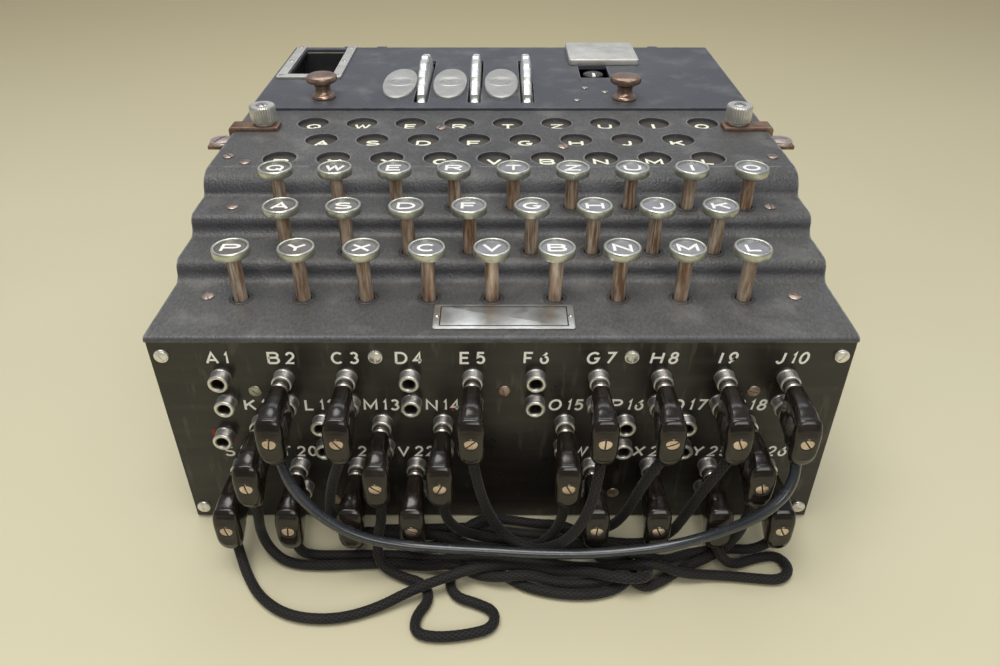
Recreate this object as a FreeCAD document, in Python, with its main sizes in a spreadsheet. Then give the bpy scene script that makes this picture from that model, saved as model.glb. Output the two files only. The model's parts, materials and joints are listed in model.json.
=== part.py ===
import FreeCAD, Part
import Sketcher
import math
import os

# Rotor cipher machine out of its wooden box, in millimetres.
# X runs to the operator's right, Y to the back, Z up. The origin is the middle
# of the underside of the base plate.
V = FreeCAD.Vector
doc = FreeCAD.newDocument("cipher_machine")
sheet = doc.addObject("Spreadsheet::Sheet", "Dimensions")

DIMS = [
    ("cover_width", 257.0),
    ("panel_width", 256.0),
    ("frame_width", 253.0),
    ("front_edge", 141.2),
    ("back_edge", 140.0),
    ("terrace_one", 92.0),
    ("terrace_two", 99.8),
    ("terrace_three", 107.8),
    ("lamp_level", 116.8),
    ("cover_sheet", 1.8),
    ("lid_level", 118.0),
    ("lid_sheet", 2.0),
    ("side_sheet", 3.0),
    ("base_sheet", 3.0),
    ("panel_sheet", 6.5),
    ("panel_front", 141.0),
    ("panel_top", 89.7),
    ("wheel_radius", 50.0),
    ("wheel_width", 5.5),
    ("ring_radius", 34.3),
    ("ring_width", 17.0),
    ("rotor_back", 73.0),
    ("rotor_height", 80.5),
    ("shaft_radius", 4.0),
    ("shaft_bore", 4.05),
    ("stem_radius", 2.75),
    ("stem_foot", 52.0),
    ("stem_hole", 3.2),
    ("cap_radius", 7.1),
    ("cap_height", 3.6),
    ("key_travel", 4.5),
    ("window_radius", 7.5),
    ("bulb_radius", 5.5),
    ("ferrule_radius", 3.85),
    ("ferrule_proud", 5.2),
    ("shank_radius", 2.7),
    ("shank_hole", 2.75),
    ("socket_bore", 2.0),
    ("prong_radius", 1.95),
    ("lens_radius", 7.3),
    ("lens_ring", 9.2),
    ("screw_head", 2.7),
    ("screw_shank", 1.4),
    ("screw_hole", 1.45),
    ("thumb_radius", 6.2),
    ("thumb_height", 10.0),
    ("latch_head", 8.0),
    ("latch_shaft", 3.0),
    ("latch_bore", 3.05),
    ("hinge_pin", 1.5),
    ("hinge_bore", 1.55),
    ("hinge_back", 141.0),
    ("hinge_height", 112.5),
    ("cord_radius", 2.0),
    ("plug_width", 10.0),
]
for row, (alias, value) in enumerate(DIMS, start=1):
    sheet.set("A%d" % row, alias.replace("_", " "))
    sheet.set("B%d" % row, "%g" % value)
    sheet.setAlias("B%d" % row, alias)
doc.recompute()
D = {alias: float(sheet.get(alias)) for alias, _ in DIMS}

NODES = []


def place(x, y, z, axis=None, angle=0.0):
    return FreeCAD.Placement(V(x, y, z), FreeCAD.Rotation(V(*(axis or (0, 0, 1))), angle))


TURN = {"Z": ((0, 0, 1), 0), "Y": ((1, 0, 0), -90), "X": ((0, 1, 0), 90), "-Y": ((1, 0, 0), 90)}


def dim(text):
    """Puts the sheet's name before every alias in an expression."""
    words = text.split(" ")
    return " ".join("Dimensions." + w if w in D or w.lstrip("-") in D and not w.startswith("-") else
                    "-Dimensions." + w[1:] if w[1:] in D else w for w in words)


def box(name, low, high, **links):
    b = doc.addObject("Part::Box", name)
    b.Length, b.Width, b.Height = [high[i] - low[i] for i in range(3)]
    b.Placement = place(*low)
    for prop, text in links.items():
        b.setExpression(prop, dim(text))
    return b


def cyl(name, base, radius, height, way="Z", rlink=None, hlink=None):
    c = doc.addObject("Part::Cylinder", name)
    c.Radius, c.Height = radius, height
    axis, angle = TURN[way]
    c.Placement = place(*base, axis=axis, angle=angle)
    if rlink:
        c.setExpression("Radius", dim(rlink))
    if hlink:
        c.setExpression("Height", dim(hlink))
    return c


def fuse(name, items):
    f = doc.addObject("Part::MultiFuse", name)
    f.Shapes = items
    return f


def cut(name, base, tool):
    c = doc.addObject("Part::Cut", name)
    c.Base, c.Tool = base, tool
    return c


def group(name, items):
    c = doc.addObject("Part::Compound", name)
    c.Links = items
    return c


def feature(name, shape):
    f = doc.addObject("Part::Feature", name)
    f.Shape = shape
    f.Placement = FreeCAD.Placement()
    return f


def node(obj, label):
    obj.Label = label
    NODES.append((label, obj))
    return obj


def origin_plane(body, role):
    return next(o for o in body.Origin.OriginFeatures if o.Role == role)


def sketch_on(body, role, name, offset=0.0):
    s = body.newObject("Sketcher::SketchObject", name)
    s.AttachmentSupport = [(origin_plane(body, role), "")]
    s.MapMode = "FlatFace"
    s.AttachmentOffset = place(0, 0, offset)
    return s


def outline(sketch, pieces):
    """Adds lines and arcs of a closed outline, and ties each end to the next start."""
    first = len(sketch.Geometry)
    sketch.addGeometry(pieces, False)
    count = len(pieces)

    def ends(i):
        g = pieces[i]
        a, b = g.StartPoint, g.EndPoint
        return (a, 1), (b, 2)

    for i in range(count):
        j = (i + 1) % count
        for p, pi in ends(i):
            for q, qi in ends(j):
                if (p - q).Length < 1e-6:
                    sketch.addConstraint(Sketcher.Constraint("Coincident", first + i, pi, first + j, qi))
                    break


def polygon(points):
    return [Part.LineSegment(V(*points[i], 0), V(*points[(i + 1) % len(points)], 0)) for i in range(len(points))]


def circles(sketch, centres, radius, alias):
    """Equal circles whose one radius comes from the sheet."""
    first = len(sketch.Geometry)
    for x, y in centres:
        sketch.addGeometry(Part.Circle(V(x, y, 0), V(0, 0, 1), radius), False)
    c = sketch.addConstraint(Sketcher.Constraint("Radius", first, radius))
    for i in range(1, len(centres)):
        sketch.addConstraint(Sketcher.Constraint("Equal", first, first + i))
    sketch.setExpression("Constraints[%d]" % c, "Dimensions." + alias)


def pad(body, sketch, length, link=None, name="Pad"):
    p = body.newObject("PartDesign::Pad", name)
    p.Profile = sketch
    p.Length = length
    if link:
        p.setExpression("Length", dim(link))
    sketch.Visibility = False
    body.Tip = p
    return p


def drill(body, sketch, name="Holes"):
    p = body.newObject("PartDesign::Pocket", name)
    p.Profile = sketch
    p.Type = "ThroughAll"
    body.Tip = p
    return p


def turned(name, profile, at=(0, 0, 0), way="Z"):
    """A turned piece: a closed profile of (radius, height) points about its own Z."""
    body = doc.addObject("PartDesign::Body", name)
    s = sketch_on(body, "XZ_Plane", name + "_profile")
    outline(s, polygon(profile))
    r = body.newObject("PartDesign::Revolution", name + "_turn")
    r.Profile = s
    r.ReferenceAxis = (s, ["V_Axis"])
    r.Angle = 360
    body.Tip = r
    axis, angle = TURN[way]
    body.Placement = place(*at, axis=axis, angle=angle)
    return body


# ---------------------------------------------------------------- layout
HALF = D["cover_width"] / 2
FRONT = -D["front_edge"]
BACK = D["back_edge"]
SEAM = -46.0
LAMP_BACK = 26.0
KEY_ROWS = [
    ("PYXCVBNML", -114.6, -3.5, 24.14, 114.6, D["terrace_one"]),
    ("ASDFGHJK", -91.7, -0.3, 24.46, 120.6, D["terrace_two"]),
    ("QWERTZUIO", -67.6, 5.0, 24.4, 126.1, D["terrace_three"]),
]
KEYS = []
for letters, y, centre, pitch, top, level in KEY_ROWS:
    for i, letter in enumerate(letters):
        x = (i - (len(letters) - 1) / 2) * pitch
        KEYS.append((letter, round(x + centre, 2), y, top, level))
WINDOWS = []
for letters, y, centre in (("QWERTZUIO", 8.3, 3.4), ("ASDFGHJK", -13.8, -0.6), ("PYXCVBNML", -36.2, -3.2)):
    for i, letter in enumerate(letters):
        WINDOWS.append((letter, round(centre + (i - (len(letters) - 1) / 2) * 24.0, 2), y))

# The 26 letters of the plug panel, each with two sockets one above the other.
COLUMN = 23.26
PLUGBOARD = []
for i, letter in enumerate("ABCDEFGHIJ"):
    PLUGBOARD.append((letter, i + 1, round(-103.6 + COLUMN * i, 2), 74.2))
for i, letter in enumerate("KLMN"):
    PLUGBOARD.append((letter, i + 11, round(-92.1 + COLUMN * i, 2), 52.5))
for i, letter in enumerate("OPQR"):
    PLUGBOARD.append((letter, i + 15, round(24.3 + COLUMN * i, 2), 52.5))
for i, letter in enumerate("STUV"):
    PLUGBOARD.append((letter, i + 19, round(-103.6 + COLUMN * i, 2), 30.2))
for i, letter in enumerate("WXYZ"):
    PLUGBOARD.append((letter, i + 23, round(35.96 + COLUMN * i, 2), 30.2))
SOCKET_PITCH = 11.9
SPARE_SOCKET = (-107.4, 45.9)
PLUGGED = "BCEGHIJ" + "KMNOR" + "STUVWXYZ"
SOCKETS = []
for letter, number, x, z in PLUGBOARD:
    SOCKETS += [(x, z), (x, round(z - SOCKET_PITCH, 2))]
SOCKETS.append(SPARE_SOCKET)
PANEL_SCREWS = [(-123.4, 84.0), (123.6, 84.0), (-124.2, 6.0), (124.2, 6.0), (-45.8, 83.6), (47.4, 83.6),
                (-92.3, 67.5), (1.1, 67.5), (94.5, 67.5), (46.0, 14.0), (-68.6, 10.0)]
COVER_SCREWS = [(-113.2, -113.6, "terrace_one"), (113.2, -113.6, "terrace_one"),
                (-113.4, -67.6, "terrace_three"), (113.4, -67.6, "terrace_three")]
SIDE_SCREWS = [(-122.0, 9.0), (-122.0, 78.0), (-70.0, 9.0), (-52.0, 90.0), (-10.0, 9.0), (10.0, 87.0), (60.0, 9.0), (92.0, 90.0),
               (128.0, 9.0), (128.0, 88.0)]
BACK_SCREWS = [(-118.0, 8.0), (-40.0, 8.0), (40.0, 8.0), (118.0, 8.0), (-118.0, 94.0), (-40.0, 94.0), (40.0, 94.0), (118.0, 94.0)]
LAMP_SCREWS = [(-122.6, -34.4), (122.0, -35.0), (-29.2, 1.4), (28.6, -23.2), (-113.4, -41.2), (113.4, -41.2)]


def riser(y0, z0, y1, z1, share, t=0.0):
    """Two tangent arcs that carry the sheet from one level up to the next, t below its face."""
    w, rise = y1 - y0, z1 - z0
    turn = 2 * math.atan2(rise, w)
    total = w / math.sin(turn)
    ra = total * share
    rb = total - ra
    ca, cb = (y0, z0 + ra), (y1, z1 - rb)

    def arc(c, r, a0, a1):
        return Part.ArcOfCircle(Part.Circle(V(c[0], c[1], 0), V(0, 0, 1), r), min(a0, a1), max(a0, a1))

    down = -math.pi / 2
    return [arc(ca, ra + t, down, down + turn), arc(cb, rb - t, math.pi / 2 + turn, math.pi / 2)]


RISERS = [
    (FRONT + 36.2, D["terrace_one"], FRONT + 44.7, D["terrace_two"], 0.5),
    (FRONT + 60.2, D["terrace_two"], FRONT + 68.7, D["terrace_three"], 0.5),
    (FRONT + 82.6, D["terrace_three"], FRONT + 94.6, D["lamp_level"], 0.22),
]


def face_line(y_from, y_to, t):
    """The stepped face of the cover as lines and arcs, t below its outside."""
    out, at = [], V(y_from, RISERS[0][1] - t, 0)
    for y0, z0, y1, z1, share in RISERS:
        out.append(Part.LineSegment(at, V(y0, z0 - t, 0)))
        out += riser(y0, z0, y1, z1, share, t)
        at = V(y1, z1 - t, 0)
    if y_to - at.x > 1e-6:
        out.append(Part.LineSegment(at, V(y_to, at.y, 0)))
    return out


# ---------------------------------------------------------------- key cover
sheet_t = D["cover_sheet"]
body = doc.addObject("PartDesign::Body", "KeyCover")
s = sketch_on(body, "YZ_Plane", "KeyCoverProfile", -HALF)
s.setExpression("AttachmentOffset.Base.z", dim("-cover_width / 2"))
nose = 1.6
top = face_line(FRONT + nose, SEAM, 0.0)
under = face_line(FRONT + sheet_t, SEAM, sheet_t)
lip = 89.9
nose_arc = Part.ArcOfCircle(Part.Circle(V(FRONT + nose, D["terrace_one"] - nose, 0), V(0, 0, 1), nose), math.pi / 2, math.pi)
pieces = [Part.LineSegment(V(FRONT, lip, 0), V(FRONT, D["terrace_one"] - nose, 0)), nose_arc] + top
pieces += [Part.LineSegment(V(SEAM, D["lamp_level"], 0), V(SEAM, D["lamp_level"] - sheet_t, 0))]
pieces += list(reversed(under))
pieces += [Part.LineSegment(V(FRONT + sheet_t, D["terrace_one"] - sheet_t, 0), V(FRONT + sheet_t, lip, 0)),
           Part.LineSegment(V(FRONT + sheet_t, lip, 0), V(FRONT, lip, 0))]
outline(s, pieces)
pad(body, s, D["cover_width"], "cover_width", "KeyCoverSheet")
doc.recompute()
before = body.Shape.Volume
s = sketch_on(body, "XY_Plane", "StemHoles", 135.0)
circles(s, [(k[1], k[2]) for k in KEYS], D["stem_hole"], "stem_hole")
drill(body, s, "StemHolesCut")
s = sketch_on(body, "XY_Plane", "CoverScrewHoles", 135.0)
circles(s, [(c[0], c[1]) for c in COVER_SCREWS], D["screw_hole"], "screw_hole")
drill(body, s, "CoverScrewHolesCut")
doc.recompute()
assert body.Shape.Volume < before - 26 * math.pi * D["stem_hole"] ** 2 * sheet_t * 0.9
node(body, "key_cover")

# ---------------------------------------------------------------- lamp cover
THUMBS = [(-114.6, 1.6), (114.6, 1.6)]
top_plate = box("LampPlate", (-HALF, SEAM + 0.3, D["lamp_level"] - sheet_t), (HALF, LAMP_BACK, D["lamp_level"]),
                Length="cover_width", Height="cover_sheet")
rear_web = box("LampWeb", (-119, LAMP_BACK - 1.8, 112.1), (119, LAMP_BACK, 115.4))
rear_lip = box("LampLip", (-119, LAMP_BACK - 0.4, 112.1), (119, LAMP_BACK + 7.5, 113.9))
tools = [cyl("Window_%s" % w[0], (w[1], w[2], 110), 7.5, 10, rlink="window_radius") for w in WINDOWS]
tools += [cyl("LampScrewHole%d" % i, (x, y, 110), 1.45, 10, rlink="screw_hole") for i, (x, y) in enumerate(LAMP_SCREWS)]
tools += [cyl("ThumbHole%d" % i, (x, y, 110), 2.55, 10) for i, (x, y) in enumerate(THUMBS)]
node(cut("LampCover", fuse("LampCoverSheet", [top_plate, rear_web, rear_lip]), fuse("LampCoverHoles", tools)), "lamp_cover")

node(box("LetterFilm", (-110.5, SEAM + 2.0, D["lamp_level"] - sheet_t - 0.6), (110.5, 22, D["lamp_level"] - sheet_t - 0.05)), "letter_film")

# lamp board with its 26 small bulbs
board = box("LampBoardPlate", (-123.4, -46, 90), (123.4, 21, 93))
parts = [board]
for letter, x, y in WINDOWS:
    cap = cyl("BulbCap_" + letter, (x, y, 93), 4.0, 6.0)
    globe = doc.addObject("Part::Sphere", "Bulb_" + letter)
    globe.Radius = D["bulb_radius"]
    globe.setExpression("Radius", "Dimensions.bulb_radius")
    globe.Placement = place(x, y, 103.2)
    parts.append(fuse("Lamp_" + letter, [cap, globe]))
node(group("LampBoard", parts), "lamp_board")

# ---------------------------------------------------------------- chassis
half_frame = D["frame_width"] / 2
side_top = face_line(-134.5, SEAM, sheet_t + 0.1)
sides = []
for tag, x in (("Left", -half_frame), ("Right", half_frame - D["side_sheet"])):
    b = doc.addObject("PartDesign::Body", "Side" + tag)
    s = sketch_on(b, "YZ_Plane", "SideProfile" + tag, x)
    level = D["lamp_level"] - sheet_t - 0.1
    rest = D["lid_level"] - D["lid_sheet"] - 0.1
    p = [Part.LineSegment(V(-134.5, 0, 0), V(-134.5, D["terrace_one"] - sheet_t - 0.1, 0))] + side_top
    corners = [(SEAM, level), (LAMP_BACK + 0.4, level), (LAMP_BACK + 0.4, rest), (BACK, rest), (BACK, 0), (-134.5, 0)]
    p += [Part.LineSegment(V(*corners[i], 0), V(*corners[i + 1], 0)) for i in range(len(corners) - 1)]
    outline(s, p)
    pad(b, s, D["side_sheet"], "side_sheet", "SidePad" + tag)
    hole = sketch_on(b, "YZ_Plane", "SideScrewHoles" + tag, 200.0)
    circles(hole, SIDE_SCREWS, D["screw_hole"], "screw_hole")
    drill(b, hole, "SideScrewHolesCut" + tag)
    sides.append(b)
base = box("BasePlate", (-half_frame, -134.5, 0), (half_frame, BACK, 3), Length="frame_width", Height="base_sheet")
back = box("BackPlate", (-half_frame, BACK - 3, 0), (half_frame, BACK, 109.0), Length="frame_width", Width="side_sheet")
strip = box("FrontRail", (-half_frame, -134.5, 60), (half_frame, -131.5, 88.2), Length="frame_width")
shelf = box("SwitchShelf", (44, 78, 88), (half_frame - 1, 100, 91))
rail_a = box("LampRail", (-half_frame, 16, 83), (half_frame, 19, 89.9))
back_lip = box("RearLip", (-half_frame, BACK - 4.4, 96), (half_frame, BACK - 3, 115.4), Length="frame_width")
lugs, bores = [], []
for i, x in enumerate((-92, 78)):
    lugs += [cyl("Lug%d" % i, (x, D["hinge_back"], D["hinge_height"]), 3.3, 14, "X"),
             box("LugArm%d" % i, (x, BACK - 3, 98), (x + 14, D["hinge_back"] + 3.3, D["hinge_height"]))]
    bores.append(cyl("LugBore%d" % i, (x - 1, D["hinge_back"], D["hinge_height"]), 1.55, 16, "X", rlink="hinge_bore"))
bores += [cyl("ShelfHole", (53.2, 89, 80), 3.05, 20),
          box("FerruleClear", (-half_frame + 3, -136, 59), (half_frame - 3, -130, 84))]
bores += [cyl("BackScrewHole%d" % i, (x, 100, z), 1.45, 60, "Y", rlink="screw_hole") for i, (x, z) in enumerate(BACK_SCREWS)]
drain = [cyl("BaseHole%d" % i, (x, y, -1), 2.75, 6) for i, (x, y) in enumerate(((-110, -110), (110, -110), (-110, 115), (110, 115)))]
node(cut("Chassis", fuse("ChassisSheets", sides + [base, back, strip, shelf, rail_a, back_lip] + lugs), fuse("ChassisHoles", bores + drain)), "chassis_tray")

# ---------------------------------------------------------------- plug panel
half_panel = D["panel_width"] / 2
panel = box("PanelSheet", (-half_panel, -D["panel_front"], 0.6), (half_panel, -134.5, D["panel_top"]),
            Length="panel_width", Width="panel_sheet")
tools = [cyl("PanelHole%d" % i, (x, -150, z), 2.75, 20, "Y", rlink="shank_hole") for i, (x, z) in enumerate(SOCKETS)]
tools += [cyl("PanelScrewHole%d" % i, (x, -150, z), 1.45, 20, "Y", rlink="screw_hole") for i, (x, z) in enumerate(PANEL_SCREWS)]
node(cut("PlugPanel", panel, fuse("PanelHoles", tools)), "plug_panel")

# one ferrule, then the rest of the same kind
flange = cyl("Flange", (0, -D["panel_front"] - D["ferrule_proud"], 0), 3.85, 5.2, "Y", "ferrule_radius", "ferrule_proud")
shank = cyl("Shank", (0, -D["panel_front"], 0), 2.7, 9.0, "Y", "shank_radius")
bore = cyl("FerruleBore", (0, -150, 0), 2.0, 15.5, "Y", "socket_bore")
ferrule = cut("Ferrule", fuse("FerruleBody", [flange, shank]), bore)
doc.recompute()


def copies(shape, spots):
    out = []
    for spot in spots:
        c = shape.copy()
        c.translate(V(*spot))
        out.append(c)
    return Part.makeCompound(out)


node(feature("Ferrules", copies(ferrule.Shape, [(x, 0, z) for x, z in SOCKETS])), "socket_ferrules")

# slotted screws of the panel and the covers
head_y = fuse("PanelScrewBody", [cyl("PanelScrewHead", (0, -D["panel_front"] - 1.3, 0), 2.7, 1.3, "Y", "screw_head"),
                                 cyl("PanelScrewShank", (0, -D["panel_front"], 0), 1.4, 6.0, "Y", "screw_shank")])
slot_y = box("PanelScrewSlot", (-4, -D["panel_front"] - 2, -0.35), (4, -D["panel_front"] - 0.7, 0.35))
panel_screw = cut("PanelScrew", head_y, slot_y)
head_z = fuse("CoverScrewBody", [cyl("CoverScrewHead", (0, 0, 0), 2.7, 1.0, "Z", "screw_head"),
                                 cyl("CoverScrewShank", (0, 0, -1.7), 1.4, 2.0, "Z", "screw_shank")])
slot_z = box("CoverScrewSlot", (-4, -0.35, 0.4), (4, 0.35, 1.5))
cover_screw = cut("CoverScrew", head_z, slot_z)
doc.recompute()
spots = [(x, y, D[level]) for x, y, level in COVER_SCREWS] + [(x, y, D["lamp_level"]) for x, y in LAMP_SCREWS]
side_screws = []
for sign in (-1, 1):
    one = cover_screw.Shape.copy()
    one.rotate(V(0, 0, 0), V(0, 1, 0), 90 * sign)
    side_screws.append(copies(one, [(sign * half_frame, y, z) for y, z in SIDE_SCREWS]))
one = cover_screw.Shape.copy()
one.rotate(V(0, 0, 0), V(1, 0, 0), -90)
side_screws.append(copies(one, [(x, BACK, z) for x, z in BACK_SCREWS]))
node(feature("Screws", Part.makeCompound([copies(panel_screw.Shape, [(x, 0, z) for x, z in PANEL_SCREWS]),
                                          copies(cover_screw.Shape, spots)] + side_screws)), "screws")

# bare number plate with two rivets
plate = box("PlateBlank", (-25.2, -136.4, D["terrace_one"]), (27.0, -120.2, D["terrace_one"] + 0.8))
rivets = [cyl("PlateRivet%d" % i, (x, -128.3, D["terrace_one"] + 0.8), 1.2, 0.5) for i, x in enumerate((-22.4, 24.2))]
node(group("NumberPlate", [plate] + rivets), "number_plate")

# ---------------------------------------------------------------- keys
for letter, x, y, cap_top, level in KEYS:
    base_z = cap_top - D["cap_height"]
    stem = cyl("Stem_" + letter, (0, 0, D["stem_foot"]), 2.75, base_z - D["stem_foot"] + 0.6, "Z", "stem_radius")
    collar = cyl("Collar_" + letter, (0, 0, level - sheet_t - 2.3), 4.3, 2.0)
    shaft = fuse("Shaft_" + letter, [stem, collar])
    outer = cyl("Cup_" + letter, (0, 0, base_z), 7.1, 3.6, "Z", "cap_radius", "cap_height")
    inner = cyl("CupRoom_" + letter, (0, 0, base_z + 1.0), 5.9, 6)
    below = cyl("CupBore_" + letter, (0, 0, base_z - 1), 2.75, 1.6, "Z", "stem_radius")
    ring = cut("Ring_" + letter, outer, fuse("CupCut_" + letter, [inner, below]))
    disc = cyl("Disc_" + letter, (0, 0, base_z + 1.0), 5.85, 0.8)
    glass = cyl("Glass_" + letter, (0, 0, base_z + 1.8), 5.85, 1.3)
    key = group("Key_" + letter, [shaft, ring, disc, glass])
    key.Placement = place(x, y, 0)
    node(key, "key_" + letter)

# contact bank below the stems: an insulating bed, posts and one leaf spring a key
bed = box("ContactBed", (-112, -126, 18), (112, -56, 26))
legs = [box("BedLeg%d" % i, (x - 5, y - 5, 3), (x + 5, y + 5, 18)) for i, (x, y) in enumerate(((-104, -119), (104, -119), (-104, -63), (104, -63)))]
items = [fuse("BedAndLegs", [bed] + legs)]
for letter, x, y, _, _ in KEYS:
    post = box("LeafPost_" + letter, (x - 2.5, y + 4.6, 26), (x + 2.5, y + 7.8, 46.6))
    leaf = box("Leaf_" + letter, (x - 2.5, y - 6.0, 46.6), (x + 2.5, y + 7.8, 47.1))
    items.append(fuse("Contact_" + letter, [post, leaf]))
node(group("ContactBank", items), "key_contact_bank")

# ---------------------------------------------------------------- rotors
RX = {"left": -42.1, "middle": -13.9, "right": 13.9}
ry, rz = D["rotor_back"], D["rotor_height"]
for name, rx in RX.items():
    b = doc.addObject("PartDesign::Body", "Rotor_" + name)
    s = sketch_on(b, "YZ_Plane", "Thumbwheel_" + name, -D["wheel_width"] / 2)
    circles(s, [(0, 0)], D["wheel_radius"], "wheel_radius")
    wheel = pad(b, s, D["wheel_width"], "wheel_width", "ThumbwheelPad_" + name)
    notch = sketch_on(b, "YZ_Plane", "Notch_" + name, 60.0)
    notch.addGeometry(Part.Circle(V(0, D["wheel_radius"] + 1.6, 0), V(0, 0, 1), 3.4), False)
    pocket = drill(b, notch, "NotchCut_" + name)
    doc.recompute()
    pattern = b.newObject("PartDesign::PolarPattern", "NotchRing_" + name)
    pattern.Originals = [pocket]
    pattern.Axis = (notch, ["N_Axis"])
    pattern.Angle = 360
    pattern.Occurrences = 26
    b.Tip = pattern
    doc.recompute()
    s = sketch_on(b, "YZ_Plane", "Ring_" + name, -D["wheel_width"] / 2 - D["ring_width"])
    circles(s, [(0, 0)], D["ring_radius"], "ring_radius")
    pad(b, s, D["ring_width"] + 1, "ring_width + 1", "RingPad_" + name)
    s = sketch_on(b, "YZ_Plane", "Ratchet_" + name, D["wheel_width"] / 2 - 1)
    s.addGeometry(Part.Circle(V(0, 0, 0), V(0, 0, 1), 32.0), False)
    pad(b, s, 3.0, None, "RatchetPad_" + name)
    s = sketch_on(b, "YZ_Plane", "Bore_" + name, 60.0)
    circles(s, [(0, 0)], D["shaft_bore"], "shaft_bore")
    drill(b, s, "BoreCut_" + name)
    doc.recompute()
    pins = []
    for i in range(26):
        a = 2 * math.pi * i / 26
        pins.append(Part.makeCylinder(1.1, 0.8, V(D["wheel_width"] / 2 + 2.0, 26 * math.cos(a), 26 * math.sin(a)), V(1, 0, 0)))
    studs = feature("Pins_" + name, Part.makeCompound(pins))
    rotor = group("RotorUnit_" + name, [b, studs])
    rotor.Placement = place(rx, ry, rz)
    node(rotor, "rotor_" + name)

# shaft, brackets, reflector and entry wheel, all fixed
shaft = cyl("RotorShaft", (-82, ry, rz), 4.0, 122, "X", "shaft_radius")
fixed = []
for i, (x0, x1) in enumerate(((-81, -77), (34, 38))):
    foot = box("BracketFoot%d" % i, (x0 - (8 if i == 0 else 0), 56, 3), (x1 + (8 if i else 0), 90, 6))
    arm = box("BracketArm%d" % i, (x0, 56, 3), (x1, 90, 96))
    fixed.append(fuse("Bracket%d" % i, [foot, arm]))
reflector = cyl("Reflector", (-76.5, ry, rz), 33.0, 12.5, "X")
entry = cyl("EntryWheel", (21.5, ry, rz), 33.0, 12.0, "X")
shaft_room = cyl("ShaftRoom", (-90, ry, rz), 4.05, 140, "X", "shaft_bore")
carrier = [shaft] + [cut("Clear%d" % i, obj, cyl("ShaftRoom%d" % i, (-90, ry, rz), 4.0, 140, "X", "shaft_radius"))
                     for i, obj in enumerate(fixed + [reflector, entry])]
pawl_bar = box("PawlBar", (-62, 129, 40), (30, 133, 46))
pawl_legs = [box("PawlLeg%d" % i, (x, 129, 3), (x + 4, 133, 40)) for i, x in enumerate((-62, 26))]
pawls = [box("Pawl%d" % i, (rx + 1.0, 124.5, 46), (rx + 4.0, 131, 60)) for i, rx in enumerate(RX.values())]
carrier.append(fuse("PawlBridge", [pawl_bar] + pawl_legs + pawls))
doc.removeObject(shaft_room.Name)
node(group("RotorCarrier", carrier), "rotor_carrier")

# dry battery in its tin, under the bay in the lid
tin = box("BatteryTin", (-120.8, 82, 3), (-95.2, 134, 96))
poles = [cyl("BatteryPole%d" % i, (-108, y, 96), 3.0, 5.0) for i, y in enumerate((94, 122))]
node(group("Battery", [tin] + poles), "battery_box")

# ---------------------------------------------------------------- rotor lid
lid_under = D["lid_level"] - D["lid_sheet"]
lid_plate = box("LidPlate", (-HALF, LAMP_BACK + 0.6, lid_under), (HALF, BACK, D["lid_level"]), Length="cover_width", Height="lid_sheet")
flanges = [box("LidFlangeLeft", (-HALF, LAMP_BACK + 2.0, 104), (-HALF + 1.4, BACK - 1, 117)),
           box("LidFlangeRight", (HALF - 1.4, LAMP_BACK + 2.0, 104), (HALF, BACK - 1, 117))]
ears, ear_bores, hinge_pins = [], [], []
for i, x in enumerate((-92, 78)):
    for j, x0 in enumerate((x - 6.3, x + 14.3)):
        ears += [cyl("Ear%d%d" % (i, j), (x0, D["hinge_back"], D["hinge_height"]), 3.3, 6, "X"),
                 box("EarArm%d%d" % (i, j), (x0, D["hinge_back"] - 3.3, D["hinge_height"]), (x0 + 6, D["hinge_back"] + 1.2, D["lid_level"]))]
        ear_bores.append(cyl("EarBore%d%d" % (i, j), (x0 - 1, D["hinge_back"], D["hinge_height"]), 1.5, 8, "X", rlink="hinge_pin"))
    hinge_pins.append(cyl("HingePin%d" % i, (x - 7.3, D["hinge_back"], D["hinge_height"]), 1.5, 28.6, "X", rlink="hinge_pin"))
WINDOW_X = (-55.4, -27.9, 0.2)
LATCHES = {"left": (-93.7, 44.0), "right": (65.0, 42.0)}
tools = list(ear_bores)
tools += [box("WheelSlot%d" % i, (rx - 3.7, 35.2, 110), (rx + 3.7, 110.8, 125)) for i, rx in enumerate(RX.values())]
tools += [cyl("LensHole%d" % i, (x, 68.0, 110), 7.5, 20) for i, x in enumerate(WINDOW_X)]
tools += [box("BatteryBay", (-120.6, 81.0, 110), (-95.4, 135.5, 125)), box("SwitchBay", (45.0, 77.5, 110), (61.6, 100.6, 125))]
tools += [cyl("LatchHole" + k, (x, y, 110), 3.05, 20, rlink="latch_bore") for k, (x, y) in LATCHES.items()]
lid_cut = cut("LidSheet", fuse("LidBlank", [lid_plate] + flanges + ears), fuse("LidHoles", tools))
node(group("RotorLid", [lid_cut] + hinge_pins), "rotor_lid")

items = []
for i, x in enumerate(WINDOW_X):
    ring = cut("LensRing%d" % i, cyl("LensRingOut%d" % i, (x, 68.0, D["lid_level"]), 9.2, 1.5, rlink="lens_ring"),
               cyl("LensRingIn%d" % i, (x, 68.0, D["lid_level"] - 1), 7.3, 4, rlink="lens_radius"))
    items += [ring, cyl("Lens%d" % i, (x, 68.0, D["lid_level"] - 1.2), 7.3, 2.2, rlink="lens_radius")]
top_z = D["lid_level"]
u_frame = fuse("BayFrame", [box("BayLeft", (-126.4, 75.2, top_z), (-121.0, 138.5, top_z + 1.4)),
                            box("BayFront", (-126.4, 75.2, top_z), (-90.0, 80.6, top_z + 1.4)),
                            box("BayRight", (-95.2, 75.2, top_z), (-90.0, 138.5, top_z + 1.4))])
switch_plate = box("SwitchPlate", (40.2, 101.2, top_z), (81.0, 139.0, top_z + 3.4))
items += [u_frame, switch_plate]
items += [cyl("LidScrew%d" % i, (x, y, top_z), 1.8, 0.7) for i, (x, y) in enumerate(((45.8, 59.2), (56.0, 52.4), (39.9, 39.3)))]
node(group("LidFittings", items), "lid_fittings")

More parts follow.
